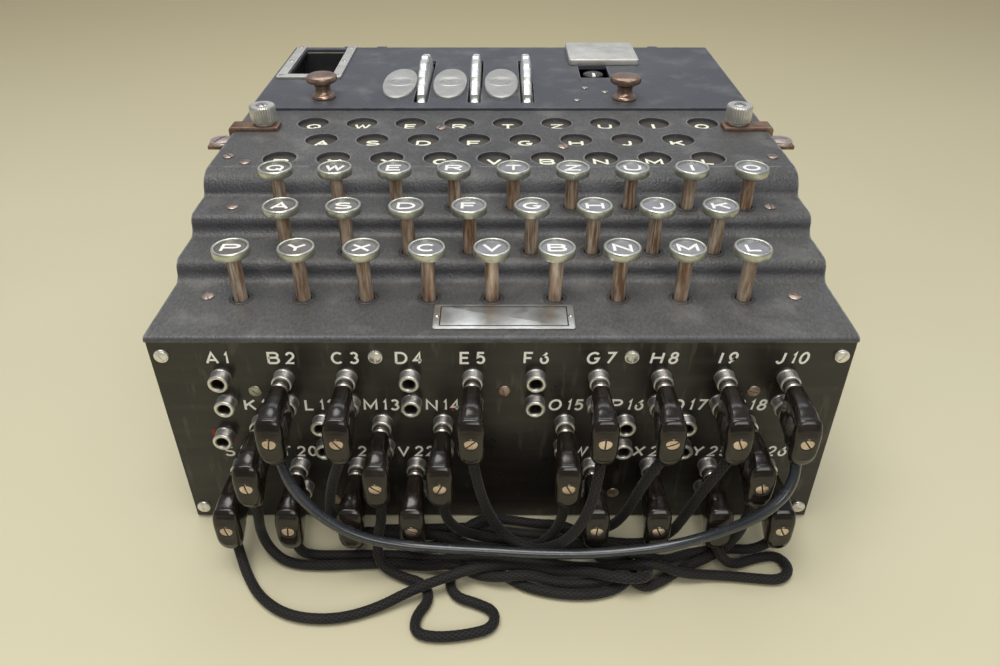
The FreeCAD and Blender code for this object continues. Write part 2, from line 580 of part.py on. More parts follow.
# latch knobs of the lid: a mushroom head on a shaft, with a tongue under the lid
for k, (x, y) in LATCHES.items():
    knob = turned("LatchKnob_" + k, [(0, -8.4), (3.0, -8.4), (3.0, 0.15), (6.2, 0.15), (6.0, 1.4), (4.4, 2.4), (3.9, 5.0), (4.6, 7.2),
                                     (7.4, 8.3), (8.0, 9.2), (7.9, 10.6), (7.0, 11.6), (4.4, 12.2), (0, 12.3)], (x, y, top_z))
    tongue = box("Tongue_" + k, (x - 14.0, y - 3.0, 109.6), (x + 3.0, y + 3.0, 111.4))
    node(fuse("Latch_" + k, [knob, tongue]), "lid_latch_" + k)

# power switch: a small knob that sits in the opening of the lid
knob = turned("SwitchKnob", [(0, 84), (3.0, 84), (3.0, 103.5), (6.6, 103.5), (6.6, 105.5), (6.0, 115.6), (5.4, 117.2), (0, 117.4)], (53.2, 89, 0))
rib = box("SwitchRib", (52.2, 83.4, 110), (54.2, 89, 117.3))
node(fuse("PowerSwitch", [knob, rib]), "switch_knob")

# ---------------------------------------------------------------- hold-down clamps
items = []
for sign, (tx, ty) in zip((-1, 1), THUMBS):
    def span(a, b):
        return (min(sign * a, sign * b), max(sign * a, sign * b))
    x0, x1 = span(107.5, 131.2)
    flat = box("StrapTop%d" % sign, (x0, ty - 5.2, D["lamp_level"]), (x1, ty + 3.8, D["lamp_level"] + 2.0))
    x0, x1 = span(129.2, 131.2)
    drop = box("StrapDrop%d" % sign, (x0, ty - 5.2, 107.6), (x1, ty + 3.8, D["lamp_level"] + 2.0))
    x0, x1 = span(129.2, 143.0)
    foot = box("StrapFoot%d" % sign, (x0, ty - 5.2, 107.6), (x1, ty + 3.8, 109.6))
    hole = cyl("StrapHole%d" % sign, (tx, ty, 110), 2.55, 12)
    seat = cyl("StrapSeat%d" % sign, (sign * 137.0, ty - 0.7, 105), 2.0, 8)
    strap = cut("Strap%d" % sign, fuse("StrapBlank%d" % sign, [flat, drop, foot]), fuse("StrapHoles%d" % sign, [hole, seat]))
    disc = fuse("StrapScrew%d" % sign, [cyl("StrapScrewHead%d" % sign, (sign * 137.0, ty - 0.7, 109.6), 5.8, 2.4),
                                        cyl("StrapScrewShank%d" % sign, (sign * 137.0, ty - 0.7, 102.0), 1.95, 8.0)])
    items += [strap, disc]
node(group("ClampStraps", items), "clamp_straps")
for side, (tx, ty) in zip(("left", "right"), THUMBS):
    z = D["lamp_level"] + 2.1
    knob = turned("Thumb_" + side, [(0, -9.5), (2.5, -9.5), (2.5, 0), (4.6, 0), (4.6, 1.2), (6.2, 1.8), (6.2, 9.0), (5.6, 9.8), (0, 10.0)], (tx, ty, z))
    node(knob, "clamp_knob_" + side)

# ---------------------------------------------------------------- patch plugs
MOUTH = -D["panel_front"] - D["ferrule_proud"]
REACH = -170.4


def plug_shape():
    """One two-pronged plug at X 0 whose upper prong is at Z 0."""
    half = D["plug_width"] / 2
    side = [(MOUTH - 0.1, 3.6), (-160.5, 3.6), (-167.6, 1.2), (REACH, -3.2), (REACH, -15.6), (-168.6, -18.4), (-164.6, -19.2),
            (-160.6, -18.6), (-157.4, -16.2), (MOUTH - 0.1, -16.0)]
    wire = Part.makePolygon([V(-half, y, z) for y, z in side] + [V(-half, *side[0])])
    shape = Part.Face(wire).extrude(V(2 * half, 0, 0))
    edges = [e for e in shape.Edges if e.Vertexes[0].Point.y < -150 and e.Vertexes[1].Point.y < -150
             and abs(e.Vertexes[0].Point.x - e.Vertexes[1].Point.x) < 1e-6]
    shape = shape.makeFillet(1.6, edges)
    for y in (-148.0, -151.0, -154.0, -157.0):
        for x in (-half, half):
            groove = Part.makeBox(1.0, 1.2, 40, V(x - 0.5, y, -30))
            shape = shape.cut(groove)
    screw_hole = Part.makeCylinder(2.75, 1.0, V(0, REACH - 0.1, -7.0), V(0, 1, 0))
    shape = shape.cut(screw_hole)
    prongs = [Part.makeCylinder(D["prong_radius"], 11.0, V(0, MOUTH - 1.0, z), V(0, 1, 0)) for z in (0, -SOCKET_PITCH)]
    holes = [Part.makeCylinder(D["prong_radius"], 1.0, V(0, MOUTH - 1.0, z), V(0, 1, 0)) for z in (0, -SOCKET_PITCH)]
    for h in holes:
        shape = shape.cut(h)
    screw = Part.makeCylinder(2.7, 1.2, V(0, REACH - 0.3, -7.0), V(0, 1, 0)).cut(Part.makeBox(7, 0.5, 0.7, V(-3.5, REACH - 0.4, -7.35)))
    return [shape] + prongs + [screw]


PLUG_SPOTS = {letter: (x, 0, z) for letter, number, x, z in PLUGBOARD if letter in PLUGGED}
one = plug_shape()
solids = []
for letter, spot in PLUG_SPOTS.items():
    for piece in one:
        c = piece.copy()
        c.translate(V(*spot))
        solids.append(c)
node(feature("PatchPlugs", Part.makeCompound(solids)), "patch_plugs")

# ---------------------------------------------------------------- patch cords
# Each cord leaves the underside of one plug, hangs or lies on the table and ends in another plug.
CORDS = {
    "cord_B_J": [
        (-80.34, -164.20, 56.40), (-78.09, -167.55, 47.69), (-68.51, -171.80, 35.17), (-54.69, -173.65, 24.62),
        (-38.21, -173.14, 18.96), (-20.95, -173.17, 17.04), (-3.66, -173.26, 15.94), (13.62, -173.60, 14.77),
        (30.94, -173.60, 14.50), (48.22, -173.28, 15.78), (65.26, -173.18, 18.99), (80.96, -173.52, 26.22),
        (95.70, -174.90, 37.73), (106.40, -168.92, 47.70), (105.74, -164.20, 56.40),
    ],
    "cord_S_X": [
        (-103.60, -164.20, 12.40), (-101.91, -167.17, 7.02), (-96.77, -171.63, 2.10), (-87.79, -180.41, 2.12),
        (-75.89, -188.41, 2.13), (-61.45, -190.26, 2.11), (-46.93, -187.24, 2.17), (-33.65, -182.81, 5.31),
        (-20.49, -178.91, 7.96), (-6.67, -173.70, 8.64), (6.39, -171.05, 4.80), (20.59, -172.34, 2.66),
        (33.80, -175.36, 6.70), (45.27, -181.24, 9.81), (55.16, -179.85, 8.47), (57.42, -171.17, 2.06),
        (58.14, -164.49, 4.76), (59.22, -164.20, 12.40),
    ],
    "cord_K_R": [
        (-92.10, -164.20, 34.70), (-92.13, -164.88, 26.71), (-94.41, -161.52, 14.55), (-92.19, -162.56, 4.77),
        (-83.75, -167.91, 2.06), (-70.65, -169.04, 2.13), (-56.40, -168.25, 2.14), (-42.53, -167.68, 2.06),
        (-29.42, -170.49, 3.37), (-18.68, -172.16, 7.57), (-9.13, -174.43, 2.75), (0.39, -177.59, 5.90),
        (10.04, -176.54, 6.75), (22.42, -177.62, 2.12), (36.57, -177.13, 2.06), (47.16, -176.50, 7.73),
        (53.72, -180.17, 2.46), (61.35, -176.65, 2.06), (71.50, -169.66, 2.10), (84.30, -164.56, 3.14),
        (91.94, -163.62, 12.64), (93.43, -165.24, 26.64), (94.08, -164.20, 34.70),
    ],
    "cord_T_Y": [
        (-80.34, -164.20, 12.40), (-79.35, -166.15, 7.81), (-74.86, -164.15, 2.63), (-63.99, -163.70, 2.06),
        (-52.48, -163.46, 2.11), (-39.36, -163.64, 2.12), (-25.01, -166.35, 2.09), (-10.29, -164.30, 2.15),
        (4.20, -166.38, 2.11), (18.89, -168.02, 2.15), (33.61, -169.90, 2.06), (46.86, -171.86, 5.06),
        (57.40, -173.81, 10.46), (69.16, -175.11, 5.05), (82.98, -173.38, 2.11), (96.85, -174.81, 2.12),
        (107.70, -176.06, 2.12), (113.03, -170.53, 2.12), (109.80, -163.83, 2.19), (101.22, -164.92, 2.06),
        (90.76, -169.02, 2.32), (84.52, -168.98, 8.20), (82.48, -164.20, 12.40),
    ],
    "cord_C_O": [
        (-57.08, -164.20, 56.40), (-60.50, -163.30, 48.72), (-64.48, -160.75, 35.31), (-67.29, -157.82, 20.14),
        (-64.52, -156.13, 7.95), (-50.38, -154.65, 5.48), (-36.99, -155.25, 3.36), (-25.91, -157.98, 8.01),
        (-15.69, -160.19, 4.45), (-2.02, -160.69, 2.06), (11.86, -161.66, 3.25), (20.23, -162.85, 12.83),
        (23.72, -164.50, 26.38), (24.30, -164.20, 34.70),
    ],
    "cord_U_H": [
        (-57.08, -164.20, 12.40), (-56.52, -163.10, 7.86), (-57.83, -157.78, 2.06), (-52.35, -150.12, 2.07),
        (-39.36, -150.36, 2.24), (-24.64, -149.87, 2.12), (-10.19, -148.87, 2.06), (4.53, -152.17, 2.13),
        (19.46, -154.07, 2.09), (33.82, -151.65, 2.06), (44.32, -154.34, 7.77), (48.72, -158.50, 20.94),
        (51.89, -161.27, 35.55), (55.55, -163.34, 48.91), (59.22, -164.20, 56.40),
    ],
    "cord_M_W": [
        (-45.58, -164.20, 34.70), (-44.91, -165.75, 26.75), (-48.09, -165.16, 14.09), (-47.84, -170.41, 5.49),
        (-39.80, -174.00, 2.41), (-29.66, -177.11, 2.07), (-26.73, -184.56, 2.10), (-31.65, -192.13, 2.16),
        (-31.43, -199.25, 2.12), (-23.10, -201.00, 2.12), (-12.14, -199.75, 2.12), (-3.19, -197.13, 2.12),
        (-2.02, -190.06, 2.12), (-9.23, -186.34, 2.12), (-17.84, -183.40, 2.22), (-20.57, -174.81, 2.06),
        (-14.24, -168.44, 2.09), (-2.83, -170.63, 2.13), (7.30, -178.25, 2.06), (19.26, -182.04, 2.14),
        (33.90, -182.99, 2.14), (46.05, -179.33, 2.06), (52.17, -170.54, 2.08), (49.17, -163.79, 2.16),
        (40.29, -165.88, 2.06), (36.46, -166.97, 7.08), (35.96, -164.20, 12.40),
    ],
    "cord_V_I": [
        (-33.82, -164.20, 12.40), (-32.99, -164.08, 7.78), (-28.22, -159.93, 2.06), (-17.71, -154.11, 3.48),
        (-8.42, -149.37, 7.59), (2.09, -146.47, 3.69), (15.06, -148.54, 3.24), (25.43, -152.37, 7.24),
        (34.37, -157.12, 4.69), (46.82, -157.62, 2.06), (59.60, -157.98, 2.67), (67.61, -159.07, 9.80),
        (71.63, -160.50, 22.44), (75.17, -162.42, 36.19), (79.78, -164.14, 48.78), (82.48, -164.20, 56.40),
    ],
    "cord_N_Z": [
        (-22.32, -164.20, 34.70), (-21.72, -164.78, 26.48), (-17.95, -160.25, 13.62), (-9.66, -155.62, 4.13),
        (3.76, -156.29, 2.06), (18.66, -158.81, 2.14), (32.75, -160.48, 3.78), (44.58, -163.38, 6.65),
        (55.05, -169.69, 8.37), (63.80, -169.57, 5.87), (74.15, -162.77, 2.10), (88.57, -160.25, 2.10),
        (101.21, -165.21, 6.73), (105.74, -164.20, 12.40),
    ],
    "cord_E_G": [
        (-10.56, -164.20, 56.40), (-9.76, -163.81, 48.80), (-7.89, -162.86, 36.23), (-4.61, -161.63, 22.78),
        (1.50, -161.82, 10.95), (11.58, -165.28, 6.79), (21.35, -168.62, 13.41), (27.62, -172.60, 25.16),
        (32.19, -172.91, 37.82), (35.13, -167.78, 49.57), (35.96, -164.20, 56.40),
    ],
}


def tube(route):
    """A round tube along straight runs joined by tangent arcs, with its length and its arc radii."""
    points = [V(*p) for p in route]
    edges, radii, last = [], [], points[0]
    length = 0.0
    for before, corner, after in zip(points, points[1:], points[2:]):
        back, on = before - corner, after - corner
        reach = 0.45 * min(back.Length, on.Length)
        back.normalize()
        on.normalize()
        turn = math.pi - back.getAngle(on)
        start, end = corner + back * reach, corner + on * reach
        radius = reach / math.tan(turn / 2)
        middle = back + on
        middle.normalize()
        top = corner + middle * (radius / math.cos(turn / 2) - radius)
        if (start - last).Length > 1e-6:
            edges.append(Part.LineSegment(last, start).toShape())
            length += (start - last).Length
        edges.append(Part.Arc(start, top, end).toShape())
        length += radius * turn
        radii.append(radius)
        last = end
    edges.append(Part.LineSegment(last, points[-1]).toShape())
    length += (points[-1] - last).Length
    path = Part.Wire(edges)
    ring = Part.Wire(Part.makeCircle(D["cord_radius"], points[0], points[1] - points[0]))
    return path.makePipeShell([ring], True, False), length, radii


for name, route in CORDS.items():
    shape, length, radii = tube(route)
    ideal = math.pi * D["cord_radius"] ** 2 * length
    print("%s: %.1f mm long, radii %s, volume %.4f of section times length"
          % (name, length, " ".join("%.0f" % r if r > 9.95 else "%.1f" % r for r in radii), shape.Volume / ideal))
    if abs(shape.Volume / ideal - 1) > 0.01:
        raise SystemExit("%s has the wrong volume" % name)
    node(feature(name.title().replace("_", ""), shape), name)

# ---------------------------------------------------------------- write the files
doc.recompute()
bad = [o.Name for o in doc.Objects if any(x in ("Invalid", "Error") for x in o.State)]
if bad:
    raise SystemExit("failed objects: %s" % bad)
os.makedirs("parts", exist_ok=True)
names = [label for label, _ in NODES]
assert len(names) == len(set(names)) and len(names) <= 60, len(names)
for label, obj in NODES:
    shape = obj.Shape
    if shape.isNull() or not shape.isValid() or not shape.Solids:
        raise SystemExit("%s has no valid solid" % label)
for label, obj in NODES:
    obj.Shape.exportStep("parts/%s.step" % label)
    print("%-20s solids %3d  volume %10.1f mm3" % (label, len(obj.Shape.Solids), obj.Shape.Volume))
print(len(NODES), "nodes")
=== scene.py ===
"""Looks of a rotor cipher machine with a lit letter board and a front plug panel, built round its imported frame.

Lengths in the tables below are millimetres unless a name says otherwise; every object is made in metres.
"""
import json
import math
import random

import bmesh
import bpy
from mathutils import Matrix, Vector
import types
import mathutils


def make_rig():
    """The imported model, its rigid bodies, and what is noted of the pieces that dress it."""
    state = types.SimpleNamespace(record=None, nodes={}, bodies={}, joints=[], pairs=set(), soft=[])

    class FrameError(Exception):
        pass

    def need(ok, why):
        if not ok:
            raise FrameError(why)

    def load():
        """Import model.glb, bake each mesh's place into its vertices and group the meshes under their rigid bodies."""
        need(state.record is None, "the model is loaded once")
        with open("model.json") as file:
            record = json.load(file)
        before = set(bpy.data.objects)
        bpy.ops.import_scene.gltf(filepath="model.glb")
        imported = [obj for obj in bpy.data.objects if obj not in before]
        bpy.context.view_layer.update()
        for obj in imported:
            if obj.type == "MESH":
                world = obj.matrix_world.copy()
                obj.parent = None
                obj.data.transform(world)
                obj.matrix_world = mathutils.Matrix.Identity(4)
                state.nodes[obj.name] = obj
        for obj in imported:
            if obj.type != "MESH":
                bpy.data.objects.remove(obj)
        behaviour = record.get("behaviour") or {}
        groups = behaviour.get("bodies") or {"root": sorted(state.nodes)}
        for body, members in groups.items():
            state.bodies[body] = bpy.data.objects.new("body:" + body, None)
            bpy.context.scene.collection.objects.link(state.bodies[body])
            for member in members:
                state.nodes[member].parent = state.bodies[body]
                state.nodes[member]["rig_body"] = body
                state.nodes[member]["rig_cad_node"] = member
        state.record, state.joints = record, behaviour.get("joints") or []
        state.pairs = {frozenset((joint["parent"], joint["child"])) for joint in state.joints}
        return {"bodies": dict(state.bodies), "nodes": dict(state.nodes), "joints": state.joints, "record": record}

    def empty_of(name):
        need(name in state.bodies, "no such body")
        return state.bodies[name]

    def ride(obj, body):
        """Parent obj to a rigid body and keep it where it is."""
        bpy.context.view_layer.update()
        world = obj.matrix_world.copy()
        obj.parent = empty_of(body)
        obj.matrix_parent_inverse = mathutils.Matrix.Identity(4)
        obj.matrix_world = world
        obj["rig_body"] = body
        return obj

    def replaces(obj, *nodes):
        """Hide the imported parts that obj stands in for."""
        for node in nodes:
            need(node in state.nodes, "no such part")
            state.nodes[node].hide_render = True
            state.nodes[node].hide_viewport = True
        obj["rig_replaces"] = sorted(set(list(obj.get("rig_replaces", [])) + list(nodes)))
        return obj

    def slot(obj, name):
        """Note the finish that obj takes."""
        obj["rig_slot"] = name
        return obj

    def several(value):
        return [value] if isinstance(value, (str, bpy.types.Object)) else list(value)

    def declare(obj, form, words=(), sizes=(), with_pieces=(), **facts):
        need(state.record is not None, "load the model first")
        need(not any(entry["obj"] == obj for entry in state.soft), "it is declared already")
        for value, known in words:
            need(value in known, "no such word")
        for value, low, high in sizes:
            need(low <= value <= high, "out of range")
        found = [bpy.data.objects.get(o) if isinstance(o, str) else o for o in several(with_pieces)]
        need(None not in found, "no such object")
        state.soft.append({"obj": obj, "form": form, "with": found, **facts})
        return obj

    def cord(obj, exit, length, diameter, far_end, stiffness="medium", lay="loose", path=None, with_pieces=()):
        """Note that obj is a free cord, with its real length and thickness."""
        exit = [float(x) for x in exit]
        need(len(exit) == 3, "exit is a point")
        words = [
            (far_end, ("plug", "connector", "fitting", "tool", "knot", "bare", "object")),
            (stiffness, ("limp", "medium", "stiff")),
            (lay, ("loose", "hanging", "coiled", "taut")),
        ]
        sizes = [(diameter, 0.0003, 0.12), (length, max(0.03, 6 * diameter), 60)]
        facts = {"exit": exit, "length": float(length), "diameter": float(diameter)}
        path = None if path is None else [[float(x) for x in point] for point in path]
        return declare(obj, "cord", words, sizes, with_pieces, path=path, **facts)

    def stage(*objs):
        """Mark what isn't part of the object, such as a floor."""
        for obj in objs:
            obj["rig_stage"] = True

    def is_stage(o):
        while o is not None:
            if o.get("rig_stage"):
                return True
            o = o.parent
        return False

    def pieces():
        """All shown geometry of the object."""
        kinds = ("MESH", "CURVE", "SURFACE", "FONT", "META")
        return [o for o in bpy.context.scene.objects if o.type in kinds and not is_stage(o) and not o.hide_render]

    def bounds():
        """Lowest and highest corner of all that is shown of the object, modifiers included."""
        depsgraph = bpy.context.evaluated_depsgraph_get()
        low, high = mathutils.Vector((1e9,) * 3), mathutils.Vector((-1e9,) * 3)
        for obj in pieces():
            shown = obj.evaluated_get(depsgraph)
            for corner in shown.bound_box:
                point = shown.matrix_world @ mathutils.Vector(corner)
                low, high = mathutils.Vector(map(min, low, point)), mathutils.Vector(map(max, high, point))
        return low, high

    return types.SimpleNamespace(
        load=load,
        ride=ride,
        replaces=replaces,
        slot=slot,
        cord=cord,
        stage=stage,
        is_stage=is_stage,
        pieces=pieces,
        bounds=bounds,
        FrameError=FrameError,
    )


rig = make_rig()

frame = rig.load()
CAD_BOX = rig.bounds()
random.seed(7)
MM = 0.001

# ---------------------------------------------------------------- camera
scene = bpy.context.scene
cam_data = bpy.data.cameras.new("camera")
cam_data.sensor_width = 36.0
cam_data.sensor_fit = "HORIZONTAL"
cam_data.lens = 28.8
cam_data.clip_start = 0.01
cam_data.dof.use_dof = False
camera = bpy.data.objects.new("camera", cam_data)
scene.collection.objects.link(camera)
camera.location = (-0.0005, -0.3756, 0.2557)
camera.rotation_euler = (math.radians(90 - 34.6), 0, 0)
scene.camera = camera


# ---------------------------------------------------------------- material helper
class Mat:
    """A principled material whose colour, roughness and bump come from its own nodes."""

    def __init__(self, name, color, rough=0.5, metal=0.0, spec=0.5, coat=0.0, coat_rough=0.08):
        self.m = bpy.data.materials.new(name)
        self.m.use_nodes = True
        self.t = self.m.node_tree
        self.t.nodes.clear()
        self.out = self.t.nodes.new("ShaderNodeOutputMaterial")
        self.b = self.t.nodes.new("ShaderNodeBsdfPrincipled")
        self.t.links.new(self.b.outputs[0], self.out.inputs["Surface"])
        self.b.inputs["Base Color"].default_value = (*color, 1)
        self.b.inputs["Roughness"].default_value = rough
        self.b.inputs["Metallic"].default_value = metal
        self.b.inputs["Specular IOR Level"].default_value = spec
        self.b.inputs["Coat Weight"].default_value = coat
        self.b.inputs["Coat Roughness"].default_value = coat_rough
        self.c = self.t.nodes.new("ShaderNodeTexCoord")
        self.normal = None

    def put(self, socket, value):
        if hasattr(value, "is_linked"):
            self.t.links.new(value, socket)
        elif isinstance(value, (tuple, list)):
            socket.default_value = (*value, 1) if len(value) == 3 and len(socket.default_value) == 4 else value
        else:
            socket.default_value = value

    def place(self, stretch=(1, 1, 1), source="Object", turn=(0, 0, 0)):
        if stretch == (1, 1, 1) and turn == (0, 0, 0):
            return self.c.outputs[source]
        n = self.t.nodes.new("ShaderNodeMapping")
        n.inputs["Scale"].default_value = stretch
        n.inputs["Rotation"].default_value = turn
        self.t.links.new(self.c.outputs[source], n.inputs["Vector"])
        return n.outputs[0]

    def noise(self, scale, lo=0.35, hi=0.65, detail=4.0, rough=0.55, stretch=(1, 1, 1), source="Object", warp=0.0):
        n = self.t.nodes.new("ShaderNodeTexNoise")
        self.t.links.new(self.place(stretch, source), n.inputs["Vector"])
        n.inputs["Scale"].default_value = scale
        n.inputs["Detail"].default_value = detail
        n.inputs["Roughness"].default_value = rough
        n.inputs["Distortion"].default_value = warp
        return self.span(n.outputs["Fac"], lo, hi)

    def cells(self, scale, lo=0.0, hi=0.6, stretch=(1, 1, 1), feature="F1", source="Object"):
        n = self.t.nodes.new("ShaderNodeTexVoronoi")
        n.feature = feature
        self.t.links.new(self.place(stretch, source), n.inputs["Vector"])
        n.inputs["Scale"].default_value = scale
        return self.span(n.outputs["Distance"], lo, hi)

    def span(self, value, lo, hi, to_lo=0.0, to_hi=1.0):
        n = self.t.nodes.new("ShaderNodeMapRange")
        n.clamp = True
        self.put(n.inputs["Value"], value)
        n.inputs["From Min"].default_value = lo
        n.inputs["From Max"].default_value = hi
        n.inputs["To Min"].default_value = to_lo
        n.inputs["To Max"].default_value = to_hi
        return n.outputs[0]

    def sum(self, op, a, b=0.0):
        n = self.t.nodes.new("ShaderNodeMath")
        n.operation = op
        self.put(n.inputs[0], a)
        self.put(n.inputs[1], b)
        return n.outputs[0]

    def mix(self, fac, a, b):
        n = self.t.nodes.new("ShaderNodeMix")
        n.data_type = "RGBA"
        self.put(n.inputs[0], fac)
        self.put(n.inputs[6], a)
        self.put(n.inputs[7], b)
        return n.outputs[2]

    def axis(self, which, source="Object"):
        n = self.t.nodes.new("ShaderNodeSeparateXYZ")
        self.t.links.new(self.c.outputs[source], n.inputs[0])
        return n.outputs[which]

    def edges(self, radius, weak=0.995, strong=0.86, samples=4):
        """1 along outer edges and 0 on open faces, from how far the rounded normal leaves the true one."""
        bevel = self.t.nodes.new("ShaderNodeBevel")
        bevel.samples = samples
        bevel.inputs["Radius"].default_value = radius * MM
        geo = self.t.nodes.new("ShaderNodeNewGeometry")
        dot = self.t.nodes.new("ShaderNodeVectorMath")
        dot.operation = "DOT_PRODUCT"
        self.t.links.new(bevel.outputs[0], dot.inputs[0])
        self.t.links.new(geo.outputs["Normal"], dot.inputs[1])
        return self.span(dot.outputs["Value"], weak, strong)

    def color(self, socket):
        self.t.links.new(socket, self.b.inputs["Base Color"])
        return self

    def rough(self, value, lo, hi):
        self.t.links.new(self.span(value, 0, 1, lo, hi), self.b.inputs["Roughness"])
        return self

    def metal(self, value, lo, hi):
        self.t.links.new(self.span(value, 0, 1, lo, hi), self.b.inputs["Metallic"])
        return self

    def bump(self, height, strength, depth):
        n = self.t.nodes.new("ShaderNodeBump")
        n.inputs["Strength"].default_value = strength
        n.inputs["Distance"].default_value = depth * MM
        self.t.links.new(height, n.inputs["Height"])
        if self.normal is not None:
            self.t.links.new(self.normal, n.inputs["Normal"])
        self.normal = n.outputs[0]
        self.t.links.new(self.normal, self.b.inputs["Normal"])
        return self


def paint(name, dark, light, dust_wear_and_highlight_tone, rough=(0.42, 0.6), grain=1.0, edge=1.0, edge_wear_and_highlight=0.75, spec=0.5):
    """Thick wrinkle paint on sheet metal: fine cells, dull patches, edges lighter as rubbed wear and as a painted
    highlight, and painted shade, darker and bluer, on steep faces.
    """
    m = Mat(name, dark, 0.5, 0.0, spec)
    patch = m.noise(11, 0.3, 0.7, 5.0)
    fine = m.noise(1100, 0.36, 0.64, 2.0, stretch=(1.0, 1.35, 1.0))
    weave = m.noise(620, 0.38, 0.62, 2.0, stretch=(1.6, 0.7, 1.0))
    cell = m.cells(900, 0.05, 0.7)
    tone = m.mix(patch, dark, light)
    tone = m.mix(m.sum("MULTIPLY", fine, 0.50 * grain), tone, light)
    tone = m.mix(m.sum("MULTIPLY", weave, 0.34 * grain), tone, tuple(0.62 * c for c in dark))
    dust = m.sum("MULTIPLY", m.noise(60, 0.52, 0.8, 6.0), 0.30)
    tone = m.mix(dust, tone, dust_wear_and_highlight_tone)
    # Edges lightened towards the worn tone: partly rubbed wear, partly a painted highlight along the edges.
    lighter_edges = m.sum("MULTIPLY", m.edges(edge), m.noise(160, 0.30, 0.58, 5.0))
    tone = m.mix(m.sum("MULTIPLY", lighter_edges, edge_wear_and_highlight), tone, dust_wear_and_highlight_tone)
    # Faces that stand steeper are painted darker and bluer: painted shade on the risers and fronts.
    geo = m.t.nodes.new("ShaderNodeNewGeometry")
    split = m.t.nodes.new("ShaderNodeSeparateXYZ")
    m.t.links.new(geo.outputs["Normal"], split.inputs[0])
    painted_steep_shade = m.sum("MULTIPLY", m.span(split.outputs[2], 0.92, 0.55), 0.55)
    tone = m.mix(painted_steep_shade, tone, tuple(c * k for c, k in zip(dark, (0.80, 0.88, 1.18))))
    m.color(tone)
    m.rough(m.noise(35, 0.3, 0.7, 5.0), *rough)
    m.bump(cell, 0.50 * grain, 0.11).bump(fine, 0.45 * grain, 0.08).bump(weave, 0.30 * grain, 0.10).bump(m.noise(45, 0.2, 0.8, 2.0), 0.16, 0.5)
    return m.m


def metal(name, bright, dull, rough=(0.22, 0.42), scratch=0.25, spots=0.35, along=(1, 1, 6), edge=0.0, edge_highlight_tone=None, metallic=1.0):
    """Plated or bare metal: fine drawn lines, tarnish in patches, small dark spots and, where edge is given, edges
    lightened as a painted highlight.
    """
    m = Mat(name, bright, 0.3, metallic)
    cloud = m.noise(120, 0.3, 0.7, 5.0)
    lines = m.noise(900, 0.3, 0.7, 3.0, stretch=along)
    spot = m.noise(520, 0.6, 0.72, 3.0)
    tone = m.mix(cloud, bright, dull)
    tone = m.mix(m.sum("MULTIPLY", lines, scratch), tone, dull)
    tone = m.mix(m.sum("MULTIPLY", spot, spots), tone, tuple(0.35 * c for c in dull))
    # Edges lightened towards the given edge tone: a painted highlight along the edges.
    if edge:
        tone = m.mix(m.sum("MULTIPLY", m.edges(edge), m.noise(300, 0.3, 0.6)), tone, edge_highlight_tone or bright)
    m.color(tone)
    m.rough(m.noise(260, 0.3, 0.7, 4.0), *rough)
    m.bump(lines, 0.16, 0.03).bump(cloud, 0.10, 0.08)
    return m.m


def moulded(name, dark, light, rough=(0.16, 0.34), coat=0.25, dust=(0.10, 0.09, 0.08), edge=0.5, edge_amount=0.35):
    """Pressed black resin: faint mottling, hairline scratches and dull handling marks."""
    m = Mat(name, dark, 0.25, 0.0, 0.5, coat, 0.12)
    mott = m.noise(170, 0.3, 0.75, 5.0)
    hair = m.noise(420, 0.56, 0.66, 2.0, stretch=(0.25, 1.0, 2.2))
    film = m.noise(75, 0.5, 0.8, 6.0)
    tone = m.mix(mott, dark, light)
    tone = m.mix(m.sum("MULTIPLY", hair, 0.22), tone, dust)
    tone = m.mix(m.sum("MULTIPLY", film, 0.3), tone, dust)
    lighter_edges = m.sum("MULTIPLY", m.edges(edge), m.noise(260, 0.3, 0.65, 4.0))
    tone = m.mix(m.sum("MULTIPLY", lighter_edges, edge_amount), tone, tuple(1.6 * c for c in dust))
    m.color(tone)
    m.rough(m.noise(130, 0.3, 0.7, 5.0), *rough)
    m.bump(mott, 0.10, 0.08).bump(hair, 0.10, 0.02)
    return m.m


# ---------------------------------------------------------------- materials
# The cover's edges are lightened more strongly and widely, partly as wear and partly as a painted highlight line along
# the flange edges.
cover_paint = paint("cover_paint", (0.046, 0.046, 0.047), (0.112, 0.110, 0.105), (0.36, 0.35, 0.33), (0.36, 0.54), 1.3, 1.2, 0.9)
lid_paint = paint("lid_paint", (0.046, 0.049, 0.058), (0.086, 0.090, 0.102), (0.32, 0.32, 0.32), (0.34, 0.50), 0.8)
frame_paint = paint("frame_paint", (0.020, 0.019, 0.019), (0.042, 0.040, 0.039), (0.20, 0.185, 0.17), (0.34, 0.55), 0.6)
nickel = metal("nickel", (0.78, 0.76, 0.70), (0.46, 0.43, 0.38), (0.20, 0.40))
nickel_bright = metal("nickel_bright", (0.92, 0.91, 0.86), (0.66, 0.64, 0.58), (0.30, 0.46), 0.25, 0.2, metallic=0.92)
barrel_metal = metal("barrel_metal", (0.46, 0.44, 0.43), (0.24, 0.22, 0.21), (0.30, 0.48), 0.5, 0.4, (6, 1, 6), 0.3, (0.70, 0.69, 0.66), 0.95)
